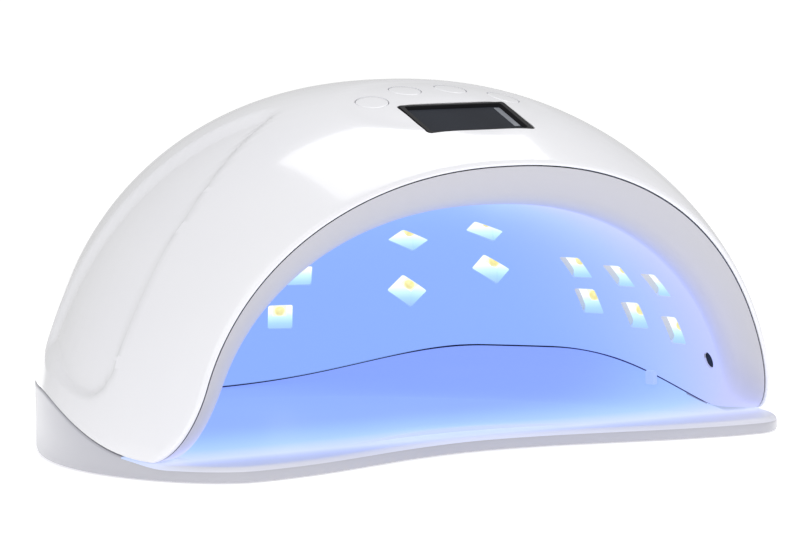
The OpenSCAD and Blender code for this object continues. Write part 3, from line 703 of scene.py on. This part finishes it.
edge_line = outline(0)
edge_seam = seam_z(edge_line[:, 1])
edge_r_max = 2.6
lip_rise = 1.4 * smoothstep((edge_line[:, 1] + 76) / 15)
edge_r = 0.6 + 1.4 * smoothstep((-70 - edge_line[:, 1]) / 15)


def seam_ring(inset, drop):
    """A ring at the parting line's height less drop; inset and drop may change along the ring"""
    inset = np.broadcast_to(inset, len(edge_line))
    low, high = float(inset.min()), float(inset.max())
    near, far = outline(low), outline(high)
    share = ((inset - low) / max(1e-9, high - low))[:, None]
    return np.concatenate([near * (1 - share) + far * share, (edge_seam - drop)[:, None]], axis=1)


def cove_ring(s, out, drop):
    """A ring on the cove: s is 0 at the rim and 1 on the floor"""
    fall = 1 - math.sqrt(max(0.0, 1 - (1 - s) ** 2))
    line = outline(rim_w - out + cove_w * s)
    z = tray_h - drop + (seam_z(line[:, 1]) - tray_h) * fall
    return np.concatenate([line, z[:, None]], axis=1)


def level_ring(inset, z):
    return np.concatenate([outline(inset), np.full((len(edge_line), 1), z)], axis=1)


cove_steps = [(1 - math.cos(a)) for a in np.linspace(math.pi / 2, 0, 16)]
tray_rings = [cove_ring(s, 0, 0) for s in cove_steps]
crest = outline(rim_w - 0.6)
tray_rings += [np.concatenate([crest, seam_z(crest[:, 1])[:, None]], axis=1), seam_ring(rim_w - 1.2, 0.0)]
tray_rings += [seam_ring(3.9, 0.0), seam_ring(3.8, -lip_rise), seam_ring(2.8, -lip_rise),
               seam_ring(2.7, 0.0)]
tray_rings += [seam_ring(edge_r * (1 - math.sin(a)), edge_r * (1 - math.cos(a)))
               for a in np.linspace(0, math.pi / 2, 7)]
tray_rings += [level_ring(0, tray_floor + 0.9), level_ring(0.25, tray_floor + 0.25), level_ring(0.9, tray_floor),
               level_ring(wall, tray_floor), seam_ring(wall, 2.6), seam_ring(3.8, wall)]
tray_rings += [cove_ring(s, wall, wall) for s in cove_steps[::-1]]
tray = skin("tray", np.stack(tray_rings))
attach(tray, "base")
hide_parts("base_tray")
print("tray:", len(tray.data.polygons), "faces, floor at", round(tray_h, 1), "mm")

# %% [markdown]
# ## Locating tabs
# Two small tabs stand on the cove, just inside the liner's lower edge, and guide the dome home. They are
# bevelled blocks that touch nothing but the tray.

# %% Locating tabs
tab_y = front_y + 62
for side, word in ((-1, "left"), (1, "right")):
    x = side * (float(plan_w(np.float64(tab_y))) - cavity_gap - 2.9)
    low = float(seam_z(np.float64(tab_y))) - 2.0
    rings = []
    for half, z in ((0.5, 0.0), (0.8, 0.3), (0.8, 4.0), (0.7, 4.35), (0.45, 4.5)):
        rings.append([(x + a * half, tab_y + b * (1.2 + half), low + z)
                      for a, b in ((-1, -1), (1, -1), (1, 1), (-1, 1))])
    tab = skin("locating_tab_" + word, np.array(rings))
    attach(tab, "base")
    print(tab.name, "at", round(x, 1))

# %% [markdown]
# ## Display
# The display has a black frame with a bevel that leads down to a smoked window. Under it lies the dark
# blue-grey panel, with a paler strip down one side. The frame is a ring of rounded rectangles.

# %% Display
frame_side = 2.6
frame_front = 1.8


def ring_loop(name, rings, place):
    """A ring-shaped solid: closed outlines that follow each other round a loop"""
    count, n = len(rings), len(rings[0])
    points = [list(place @ Vector(p)) for ring in rings for p in ring]
    faces = []
    for i in range(count):
        a, b = i * n, ((i + 1) % count) * n
        faces += [(a + j, a + (j + 1) % n, b + (j + 1) % n, b + j) for j in range(n)]
    obj = make_object(name, np.array(points), faces)
    tidy_mesh(obj, angle=25)
    return obj


def level(w, d, r, z):
    return [(x, y, z) for x, y in rounded_rectangle(w, d, r, 6)]


open_w, open_d = display_w - 2 * frame_side, display_d - 2 * frame_front
bezel = ring_loop("display_bezel", [
    level(display_w, display_d, 1.2, -2.4), level(display_w, display_d, 1.2, -0.25),
    level(display_w - 0.5, display_d - 0.5, 1.0, 0.0), level(open_w + 1.6, open_d + 1.6, 0.9, -0.05),
    level(open_w, open_d, 0.5, -0.8), level(open_w, open_d, 0.5, -2.4)], display_place)
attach(bezel, "dome")
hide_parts("display_frame")

glass = skin("display_glass", np.array([[list(display_place @ Vector(p)) for p in ring] for ring in (
    level(open_w - 0.2, open_d - 0.2, 0.4, -1.6), level(open_w - 0.2, open_d - 0.2, 0.4, -0.95),
    level(open_w - 0.5, open_d - 0.5, 0.4, -0.8))]))
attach(glass, "dome")
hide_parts("display_window")

strip_w = 2.2
strip_place = display_place @ Matrix.Translation((open_w / 2 - strip_w / 2 - 0.4, 0.4, 0))
strip = skin("display_strip", np.array([[list(strip_place @ Vector(p)) for p in ring] for ring in (
    level(strip_w, open_d - 2.6, 0.3, -0.83), level(strip_w, open_d - 2.6, 0.3, -0.74),
    level(strip_w - 0.2, open_d - 2.8, 0.3, -0.7))]))
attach(strip, "dome")
print("display bezel", len(bezel.data.polygons), "faces, window", round(open_w, 1), "x", round(open_d, 1), "mm")

# %% [markdown]
# ## Timer buttons
# Each cap is cut from the same surface as the dome round it, so that only a hairline shows. The cap is a
# round grid laid on the roof's formula, with a fine rounded edge, a flange that stops it from falling out
# and a stem that reaches down to its switch.

# %% Timer buttons
press_up = np.array([0, -math.sin(buttons_tilt), math.cos(buttons_tilt)])
across_up = np.array([0, math.cos(buttons_tilt), math.sin(buttons_tilt)])
stem_r = 2.0
stem_depth = 13.0


def roof_surface(points):
    """Moves points along the press direction onto the roof with its recess"""
    p = points.copy()
    for _ in range(6):
        target = roof_point(p[..., 0], p[..., 1])
        target = target - np.array([0, 0, 1.0]) * (recess(target) / math.cos(buttons_tilt))[..., None]
        p = p + press_up * ((target - p)[..., 2] / press_up[2] * 0.9)[..., None]
    return p


def button_cap(name, spot):
    angles = np.linspace(0, 2 * np.pi, 73)[:-1]
    centre = roof_point(np.float64(spot[0]), np.float64(spot[1]))
    rings = []
    edge = button_d / 2
    for r, sink in ((0.6, 0), (1.6, 0), (2.6, 0), (3.6, 0), (edge - 0.4, 0), (edge - 0.18, 0.05),
                    (edge - 0.05, 0.16), (edge, 0.4)):
        flat = centre + np.outer(np.cos(angles) * r, [1, 0, 0]) + np.outer(np.sin(angles) * r, across_up)
        rings.append(roof_surface(flat) - press_up * sink)
    low = rings[-1] - press_up * 3.2
    flange = edge + 0.9
    wide = centre + np.outer(np.cos(angles) * flange, [1, 0, 0]) + np.outer(np.sin(angles) * flange, across_up)
    thin = centre + np.outer(np.cos(angles) * stem_r, [1, 0, 0]) + np.outer(np.sin(angles) * stem_r, across_up)
    stem = press_up @ (centre - np.array([0, buttons_y, roof_h(buttons_y)])) + stem_depth
    rings += [low, wide - press_up * 3.6, wide - press_up * 4.6, thin - press_up * 4.6, thin - press_up * stem]
    cap = skin(name, np.stack(rings))
    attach(cap, spot_body[spot])
    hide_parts(spot_body[spot])
    return cap


spot_body = dict(zip(button_spots, button_names))
caps = [button_cap("cap_" + spot_body[spot].split("_")[1], spot) for spot in button_spots]
print("button caps:", [cap.name for cap in caps])

# %% [markdown]
# ## Shared shader effects
# Three effects are used by many finishes, so each is a node group. **Moulded skin** gives plastic the very
# faint waviness and specks that a mould leaves. **Light reach** says how strongly the lamp's light falls on
# a place, from its distance into the cavity. **Scuffs** mixes in fine handling marks for metal.

# %% Node groups
def new_group(name, inputs, outputs):
    """A shader group with named inputs (name, type, value) and outputs (name, type)"""
    group = bpy.data.node_groups.new(name, "ShaderNodeTree")
    for label, kind, value in inputs:
        socket = group.interface.new_socket(name=label, in_out="INPUT", socket_type="NodeSocket" + kind)
        if value is not None:
            socket.default_value = value
    for label, kind in outputs:
        group.interface.new_socket(name=label, in_out="OUTPUT", socket_type="NodeSocket" + kind)
    return group, group.nodes.new("NodeGroupInput"), group.nodes.new("NodeGroupOutput")


def math_node(tree, operation, *values):
    """A math node whose inputs are numbers or sockets"""
    node = tree.nodes.new("ShaderNodeMath")
    node.operation = operation
    for i, value in enumerate(values):
        if isinstance(value, (int, float)):
            node.inputs[i].default_value = value
        else:
            tree.links.new(value, node.inputs[i])
    return node.outputs[0]


def noise_node(tree, vector, scale, detail=3.0):
    node = tree.nodes.new("ShaderNodeTexNoise")
    node.inputs["Detail"].default_value = detail
    tree.links.new(vector, node.inputs["Vector"])
    if isinstance(scale, (int, float)):
        node.inputs["Scale"].default_value = scale
    else:
        tree.links.new(scale, node.inputs["Scale"])
    return node.outputs["Fac"]


skin_group, g_in, g_out = new_group(
    "Moulded skin",
    [("Vector", "Vector", None), ("Wave scale", "Float", 18.0), ("Speck scale", "Float", 900.0),
     ("Speck share", "Float", 0.2), ("Roughness", "Float", 0.1), ("Roughness spread", "Float", 0.03)],
    [("Height", "Float"), ("Roughness", "Float"), ("Tone", "Float")])
waves = noise_node(skin_group, g_in.outputs["Vector"], g_in.outputs["Wave scale"], 2.0)
specks = noise_node(skin_group, g_in.outputs["Vector"], g_in.outputs["Speck scale"], 1.0)
fine = math_node(skin_group, "MULTIPLY", specks, g_in.outputs["Speck share"])
skin_group.links.new(math_node(skin_group, "ADD", waves, fine), g_out.inputs["Height"])
spread = math_node(skin_group, "MULTIPLY", math_node(skin_group, "SUBTRACT", waves, 0.5),
                   g_in.outputs["Roughness spread"])
skin_group.links.new(math_node(skin_group, "ADD", g_in.outputs["Roughness"], spread), g_out.inputs["Roughness"])
skin_group.links.new(waves, g_out.inputs["Tone"])

reach_group, g_in, g_out = new_group(
    "Light reach",
    [("Vector", "Vector", None), ("Start", "Float", -0.1), ("Full", "Float", -0.05), ("Low", "Float", 0.0),
     ("High", "Float", 0.02)],
    [("Depth", "Float"), ("Height", "Float")])
split = reach_group.nodes.new("ShaderNodeSeparateXYZ")
reach_group.links.new(g_in.outputs["Vector"], split.inputs[0])
for axis, low_name, high_name, label in (("Y", "Start", "Full", "Depth"), ("Z", "Low", "High", "Height")):
    spread_node = reach_group.nodes.new("ShaderNodeMapRange")
    spread_node.interpolation_type = "SMOOTHSTEP"
    reach_group.links.new(split.outputs[axis], spread_node.inputs["Value"])
    reach_group.links.new(g_in.outputs[low_name], spread_node.inputs["From Min"])
    reach_group.links.new(g_in.outputs[high_name], spread_node.inputs["From Max"])
    reach_group.links.new(spread_node.outputs["Result"], g_out.inputs[label])

scuff_group, g_in, g_out = new_group(
    "Scuffs",
    [("Vector", "Vector", None), ("Scale", "Float", 300.0), ("Colour", "Color", (0.6, 0.6, 0.6, 1)),
     ("Worn colour", "Color", (0.4, 0.4, 0.4, 1)), ("Amount", "Float", 0.3)],
    [("Colour", "Color"), ("Height", "Float")])
marks = noise_node(scuff_group, g_in.outputs["Vector"], g_in.outputs["Scale"], 4.0)
share = math_node(scuff_group, "MULTIPLY", marks, g_in.outputs["Amount"])
blend_node = scuff_group.nodes.new("ShaderNodeMix")
blend_node.data_type = "RGBA"
scuff_group.links.new(share, blend_node.inputs["Factor"])
scuff_group.links.new(g_in.outputs["Colour"], blend_node.inputs["A"])
scuff_group.links.new(g_in.outputs["Worn colour"], blend_node.inputs["B"])
scuff_group.links.new(blend_node.outputs["Result"], g_out.inputs["Colour"])
scuff_group.links.new(marks, g_out.inputs["Height"])
print("node groups:", [g.name for g in bpy.data.node_groups])

# %% [markdown]
# ## Finishes
# Every finish starts from a Principled shader. Constants sit on the shader's own sockets. What changes over
# the surface comes from the groups: a bump, a roughness that wanders a little and a slightly uneven tone.

# %% Material helpers
def linear(r, g, b):
    """A colour given in display steps of 0 to 255, as the shader wants it"""
    steps = [c / 255 for c in (r, g, b)]
    return tuple(c / 12.92 if c <= 0.04045 else ((c + 0.055) / 1.055) ** 2.4 for c in steps) + (1.0,)


class Finish:
    """A material with its Principled shader and object coordinates at hand"""

    def __init__(self, name, **sockets):
        self.material = bpy.data.materials.new(name)
        self.material.use_nodes = True
        self.tree = self.material.node_tree
        self.shader = self.tree.nodes["Principled BSDF"]
        self.place = self.tree.nodes.new("ShaderNodeTexCoord")
        for socket, value in sockets.items():
            self.shader.inputs[socket.replace("_", " ")].default_value = value

    def group(self, group, **values):
        node = self.tree.nodes.new("ShaderNodeGroup")
        node.node_tree = group
        self.tree.links.new(self.place.outputs["Object"], node.inputs["Vector"])
        for socket, value in values.items():
            node.inputs[socket.replace("_", " ")].default_value = value
        return node

    def ramp(self, factor, *stops):
        node = self.tree.nodes.new("ShaderNodeValToRGB")
        self.tree.links.new(factor, node.inputs[0])
        while len(node.color_ramp.elements) < len(stops):
            node.color_ramp.elements.new(0.5)
        for element, (position, colour) in zip(node.color_ramp.elements, stops):
            element.position = position
            element.color = colour
        return node.outputs["Color"]

    def mix(self, factor, a, b, mode="MIX"):
        node = self.tree.nodes.new("ShaderNodeMix")
        node.data_type = "RGBA"
        node.blend_type = mode
        for socket, value in (("Factor", factor), ("A", a), ("B", b)):
            if isinstance(value, (int, float, tuple)):
                node.inputs[socket].default_value = value
            else:
                self.tree.links.new(value, node.inputs[socket])
        return node.outputs["Result"]

    def bump(self, height, distance, strength=0.3):
        node = self.tree.nodes.new("ShaderNodeBump")
        node.inputs["Distance"].default_value = distance
        node.inputs["Strength"].default_value = strength
        self.tree.links.new(height, node.inputs["Height"])
        self.tree.links.new(node.outputs["Normal"], self.shader.inputs["Normal"])

    def feed(self, socket, source):
        self.tree.links.new(source, self.shader.inputs[socket])


def plastic(name, colour, shade, roughness, wave=18.0, bump=0.00006, **sockets):
    """Moulded plastic: two close tones, a faint waviness and a slightly uneven gloss"""
    finish = Finish(name, **sockets)
    texture = finish.group(skin_group, Wave_scale=wave, Roughness=roughness, Roughness_spread=roughness * 0.3)
    finish.feed("Base Color", finish.ramp(texture.outputs["Tone"], (0.3, shade), (0.7, colour)))
    finish.feed("Roughness", texture.outputs["Roughness"])
    finish.bump(texture.outputs["Height"], bump)
    return finish


def put(finish, *names):
    """Gives objects or CAD nodes a finish"""
    for name in names:
        obj = name if isinstance(name, bpy.types.Object) else nodes[name]
        obj.data.materials.clear()
        obj.data.materials.append(finish.material)
        obj.data.polygons.foreach_set("material_index", [0] * len(obj.data.polygons))


def put_where(finish, obj, chosen):
    """Gives the chosen faces of a mesh a second finish; chosen tests a face's centre and normal in millimetres"""
    obj.data.materials.append(finish.material)
    index = len(obj.data.materials) - 1
    count = 0
    for face in obj.data.polygons:
        if chosen(face.center / MM, face.normal):
            face.material_index = index
            count += 1
    print(obj.name, "has", count, "faces of", finish.material.name)


print("material helpers ready")

# %% [markdown]
# ## White plastics
# The shell is polished in its mould, so it gets a clear coat over a nearly white base. The band and the
# tray are less glossy. The cooler second tone keeps the white from looking like paper. What lies inside the
# parting gap gets painted shade: a deep violet, the colour that the gap has in the lamp's own light.

# %% White plastics
shell_white = plastic("shell_gloss_white", linear(243, 243, 247), linear(240, 240, 245), 0.2, bump=0.00003,
                      Coat_Weight=0.7, Coat_Roughness=0.08)
put(shell_white, dome_shell, *caps)
tray_white = plastic("tray_white", linear(192, 192, 200), linear(188, 188, 197), 0.3, Coat_Weight=0.3,
                     Coat_Roughness=0.15)
put(tray_white, "base_cover", "button_guide")
# Painted shade: the dome's rim inside the parting gap is white plastic, drawn here in deep violet.
deep_shade = plastic("deep_shade", linear(58, 46, 122), linear(48, 38, 108), 0.6)
put(deep_shade, "dome_rim")
# Painted shade: a grey for the faces in the hairline gap between the shell's lip and the band.
painted_seam_shade = plastic("painted_seam_shade", linear(150, 149, 156), linear(140, 139, 147), 0.6)
print("white plastics ready")

# %% [markdown]
# ## Lit plastics
# The lamp is switched on. Its light tints the cavity: azure deep inside, lilac near the opening, and
# nothing on the band. Real lamps inside a white box need very many light paths, so the light is drawn on the
# surface instead. The base colour is dimmed where the emission is strong, since the walls of a cavity light
# each other and would wash the tint out. Only the faces that look into the cavity glow.

# %% Lit plastics
band_grey = linear(195, 194, 200)
lilac = linear(196, 200, 250)
sky = linear(176, 198, 254)
azure = linear(146, 182, 253)
# Painted light: the tray's upward faces in front of the opening get this lighter copy of the tray's white.
tray_top_painted_light = linear(224, 225, 236)
black_out = (0.0, 0.0, 0.0, 1.0)


def dim(colour, share=0.34):
    """The base colour under a glow: a darker, greyer copy of it"""
    return tuple(share * (0.35 + 0.65 * c) for c in colour[:3]) + (1.0,)


def lit_plastic(name, stops, start, full, strength):
    """Satin plastic whose colour and emission follow the light's reach; stops are (place, glow colour or None)"""
    finish = Finish(name, Emission_Strength=strength, Coat_Weight=0.1, Coat_Roughness=0.25)
    reach = finish.group(reach_group, Start=start * MM, Full=full * MM)
    texture = finish.group(skin_group, Wave_scale=14.0, Roughness=0.36, Roughness_spread=0.08)
    first_stop_colour = stops[0][1]
    base_stops = [stops[0]] + [(place, dim(colour)) for place, colour in stops[1:]]
    glow_stops = [(stops[0][0], black_out)] + stops[1:]
    finish.feed("Base Color", finish.ramp(reach.outputs["Depth"], *base_stops))
    finish.feed("Emission Color", finish.ramp(reach.outputs["Depth"], *glow_stops))
    finish.feed("Roughness", texture.outputs["Roughness"])
    finish.bump(texture.outputs["Height"], 0.00005)
    return finish


liner_lit = lit_plastic("liner_lit", [(0.0, band_grey), (0.05, lilac), (0.4, sky), (1.0, azure)], -94, 10, 0.72)
reflector_plain = plastic("reflector_plain", linear(214, 214, 220), linear(210, 210, 217), 0.4)
put(liner_lit, liner)
put_where(reflector_plain, liner,
          lambda c, n: n.dot((c - Vector((0, 10, 20))).normalized()) > 0.5 and c.y > float(lip_at(c.z)) + band_d + 6)
# The sides of the band's edge, in the hairline gap behind the shell's lip, get the grey painted shade.
put_where(painted_seam_shade, liner, lambda c, n: n.dot(c - Vector((0, c.y, 20))) > 0.6 * (c - Vector((0, c.y, 20))).length
          and c.y < float(lip_at(c.z)) + 6)

# On the tray the upward faces at the front edge carry painted light, a paler base than the tray's own white; deeper in
# they glow.
tray_lit = lit_plastic("tray_lit", [(0.0, tray_top_painted_light), (0.14, linear(216, 224, 252)), (0.42, linear(172, 205, 254)),
                                    (0.75, linear(152, 186, 254)), (1.0, linear(138, 166, 254))], -104, 0, 0.72)
put(tray_white, tray)
put(liner_lit, *[o for o in scene.objects if o.name.startswith("locating_tab")])


def in_plan(point, inset):
    """Whether a point lies inside the outline moved in by inset"""
    return abs(point.x) < float(plan_w(np.float64(point.y), inset)) and point.y < back_y - inset


put_where(tray_lit, tray, lambda c, n: n.z > 0.3 if c.y < -66 else n.z > 0.02 and in_plan(c, rim_w + 0.05))
# The tray's ledge under the parting gap gets the same deep violet painted shade.
put_where(deep_shade, tray, lambda c, n: c.z > float(seam_z(c.y)) - 0.1 and in_plan(c, edge_r_max)
          and not in_plan(c, rim_w + 0.05) and c.y > -64)
print("lit plastics ready")

# %% [markdown]
# ## LEDs
# The funnel's wall carries painted light from its LED: white near its top, fading into the cavity's azure towards
# its lower side. The LED package is pale with a yellow phosphor lens. Both shine.

# %% LED finishes
funnel_lit = Finish("funnel_lit", Emission_Strength=0.95)
funnel_uv = funnel_lit.tree.nodes.new("ShaderNodeSeparateXYZ")
funnel_lit.tree.links.new(funnel_lit.place.outputs["UV"], funnel_uv.inputs[0])
funnel_skin = funnel_lit.group(skin_group, Wave_scale=60.0, Roughness=0.35, Roughness_spread=0.1)
tree = funnel_lit.tree
wander = math_node(tree, "MULTIPLY", math_node(tree, "SUBTRACT", funnel_skin.outputs["Tone"], 0.5), 0.15)
funnel_height = math_node(tree, "ADD", funnel_uv.outputs["Y"], wander)
# Painted light from the LED on the funnel's wall, by height in its window.
funnel_painted_light = funnel_lit.ramp(funnel_height, (0.0, linear(156, 192, 252)), (0.22, linear(168, 214, 252)),
                                (0.45, linear(206, 246, 252)), (0.62, linear(252, 255, 255)))
funnel_lit.shader.inputs["Base Color"].default_value = dim(azure, 0.25)
funnel_lit.feed("Emission Color", funnel_painted_light)
funnel_lit.feed("Roughness", funnel_skin.outputs["Roughness"])
put(funnel_lit, *cups.values())


def glowing(name, colour, edge, strength, scale):
    """A small lit piece whose tone wanders between two colours"""
    finish = Finish(name, Emission_Strength=strength, Roughness=0.3)
    texture = finish.group(skin_group, Wave_scale=scale, Roughness=0.3, Roughness_spread=0.1)
    tone = finish.ramp(texture.outputs["Tone"], (0.35, edge), (0.65, colour))
    finish.shader.inputs["Base Color"].default_value = dim(colour, 0.25)
    finish.feed("Emission Color", tone)
    finish.feed("Roughness", texture.outputs["Roughness"])
    return finish


put(glowing("led_package", linear(252, 252, 226), linear(242, 246, 206), 0.9, 500.0), "led_beads_left",
    "led_beads_right")
put(glowing("led_lens", linear(252, 244, 160), linear(244, 226, 120), 0.85, 700.0), "led_lenses_left",
    "led_lenses_right")
put(plastic("led_board_white", linear(225, 228, 235), linear(215, 220, 230), 0.5, wave=200.0), "led_boards_left",
    "led_boards_right")
print("LED finishes ready")

# %% [markdown]
# ## Dark pieces, metal and electronics
# The bezel and the sensors are black plastic, the window is smoked and glossy. The screws and magnets are
# plated steel with fine handling marks. The board is green with a faint weave of glass fibre.

# %% Dark pieces and metal
black_plastic = plastic("black_plastic", linear(16, 16, 20), linear(12, 12, 16), 0.35, wave=80.0,
                        Specular_IOR_Level=0.1)
put(black_plastic, bezel, "ir_emitter", "ir_receiver", "dc_jack", "tact_switches", "board_parts")
put(plastic("rubber_black", linear(34, 34, 35), linear(26, 26, 27), 0.75, wave=300.0, bump=0.0001), "rubber_feet")
put(plastic("display_smoked", linear(24, 30, 42), linear(19, 24, 35), 0.25, wave=40.0, bump=0.00001,
            Specular_IOR_Level=0.06), glass)
put(plastic("display_strip", linear(120, 125, 135), linear(104, 108, 118), 0.4, wave=120.0), strip)
put(plastic("lcd_dark", linear(40, 48, 60), linear(34, 41, 52), 0.4, wave=100.0), "lcd_module")
put(plastic("silicone", linear(214, 214, 210), linear(205, 205, 202), 0.6, wave=200.0), "return_pads")
put(plastic("wire_sleeve", linear(120, 30, 26), linear(104, 24, 22), 0.55, wave=400.0, bump=0.0001), "wiring_harness")
put(plastic("circuit_board", linear(28, 104, 60), linear(20, 86, 50), 0.4, wave=900.0, bump=0.00005), "control_board")


def metal(name, colour, worn, roughness, scale):
    """Plated metal with fine handling marks"""
    finish = Finish(name, Metallic=1.0, Roughness=roughness)
    marks_node = finish.group(scuff_group, Scale=scale, Colour=colour, Worn_colour=worn, Amount=0.5)
    finish.feed("Base Color", marks_node.outputs["Colour"])
    finish.bump(marks_node.outputs["Height"], 0.00004)
    return finish


put(metal("steel", linear(176, 177, 180), linear(140, 141, 144), 0.35, 900.0), "base_screws", "rim_screws", "jack_pin")
put(metal("magnet_nickel", linear(198, 196, 190), linear(170, 168, 160), 0.2, 500.0), "tray_magnets", "dome_magnets")
print("materials:", len(bpy.data.materials))

# %% [markdown]
# ## Studio
# A white floor and a white room make a product picture. The room is pure white for the camera but a little
# dimmer for the lamp, which leaves headroom for a soft box: the box hangs overhead and draws the bright patch
# on the dome's shoulder. A weak box in front lifts the face of the dome. The floor glows faintly, as a lit
# table does, so that it stays white all the way to the back.

# %% Floor, room and lights
floor_mesh = bmesh.new()
bmesh.ops.create_grid(floor_mesh, x_segments=1, y_segments=1, size=6)
floor = bpy.data.objects.new("floor", bpy.data.meshes.new("floor"))
floor_mesh.to_mesh(floor.data)
floor_mesh.free()
scene.collection.objects.link(floor)
floor_white = Finish("floor_white", Roughness=0.7, Emission_Strength=0.47)
floor_white.shader.inputs["Base Color"].default_value = (0.9, 0.9, 0.9, 1)
floor_white.shader.inputs["Emission Color"].default_value = (1, 1, 1, 1)
put(floor_white, floor)

world = bpy.data.worlds.new("room")
world.use_nodes = True
room = world.node_tree.nodes["Background"]
room.inputs["Color"].default_value = (1, 1, 1, 1)
path = world.node_tree.nodes.new("ShaderNodeLightPath")
seen = world.node_tree.nodes.new("ShaderNodeMapRange")
seen.inputs["To Min"].default_value = 0.62
seen.inputs["To Max"].default_value = 1.1
world.node_tree.links.new(path.outputs["Is Camera Ray"], seen.inputs["Value"])
world.node_tree.links.new(seen.outputs["Result"], room.inputs["Strength"])
scene.world = world


def soft_box(name, place, size, power, target=(0, 0, 0.06)):
    """A rectangular area light aimed at a target"""
    light = bpy.data.lights.new(name, "AREA")
    light.shape = "RECTANGLE"
    light.size, light.size_y = size
    light.energy = power
    box = bpy.data.objects.new(name, light)
    box.location = place
    box.rotation_euler = (Vector(target) - Vector(place)).to_track_quat("-Z", "Y").to_euler()
    scene.collection.objects.link(box)


soft_box("top box", (0.48, 0.1, 1.2), (1.1, 0.75), 5.2, target=(0.48, 0.101, 0))
soft_box("front box", (-0.7, -1.1, 0.8), (1.4, 1.4), 4.3)
scene.view_settings.view_transform = "Standard"
print("studio ready")
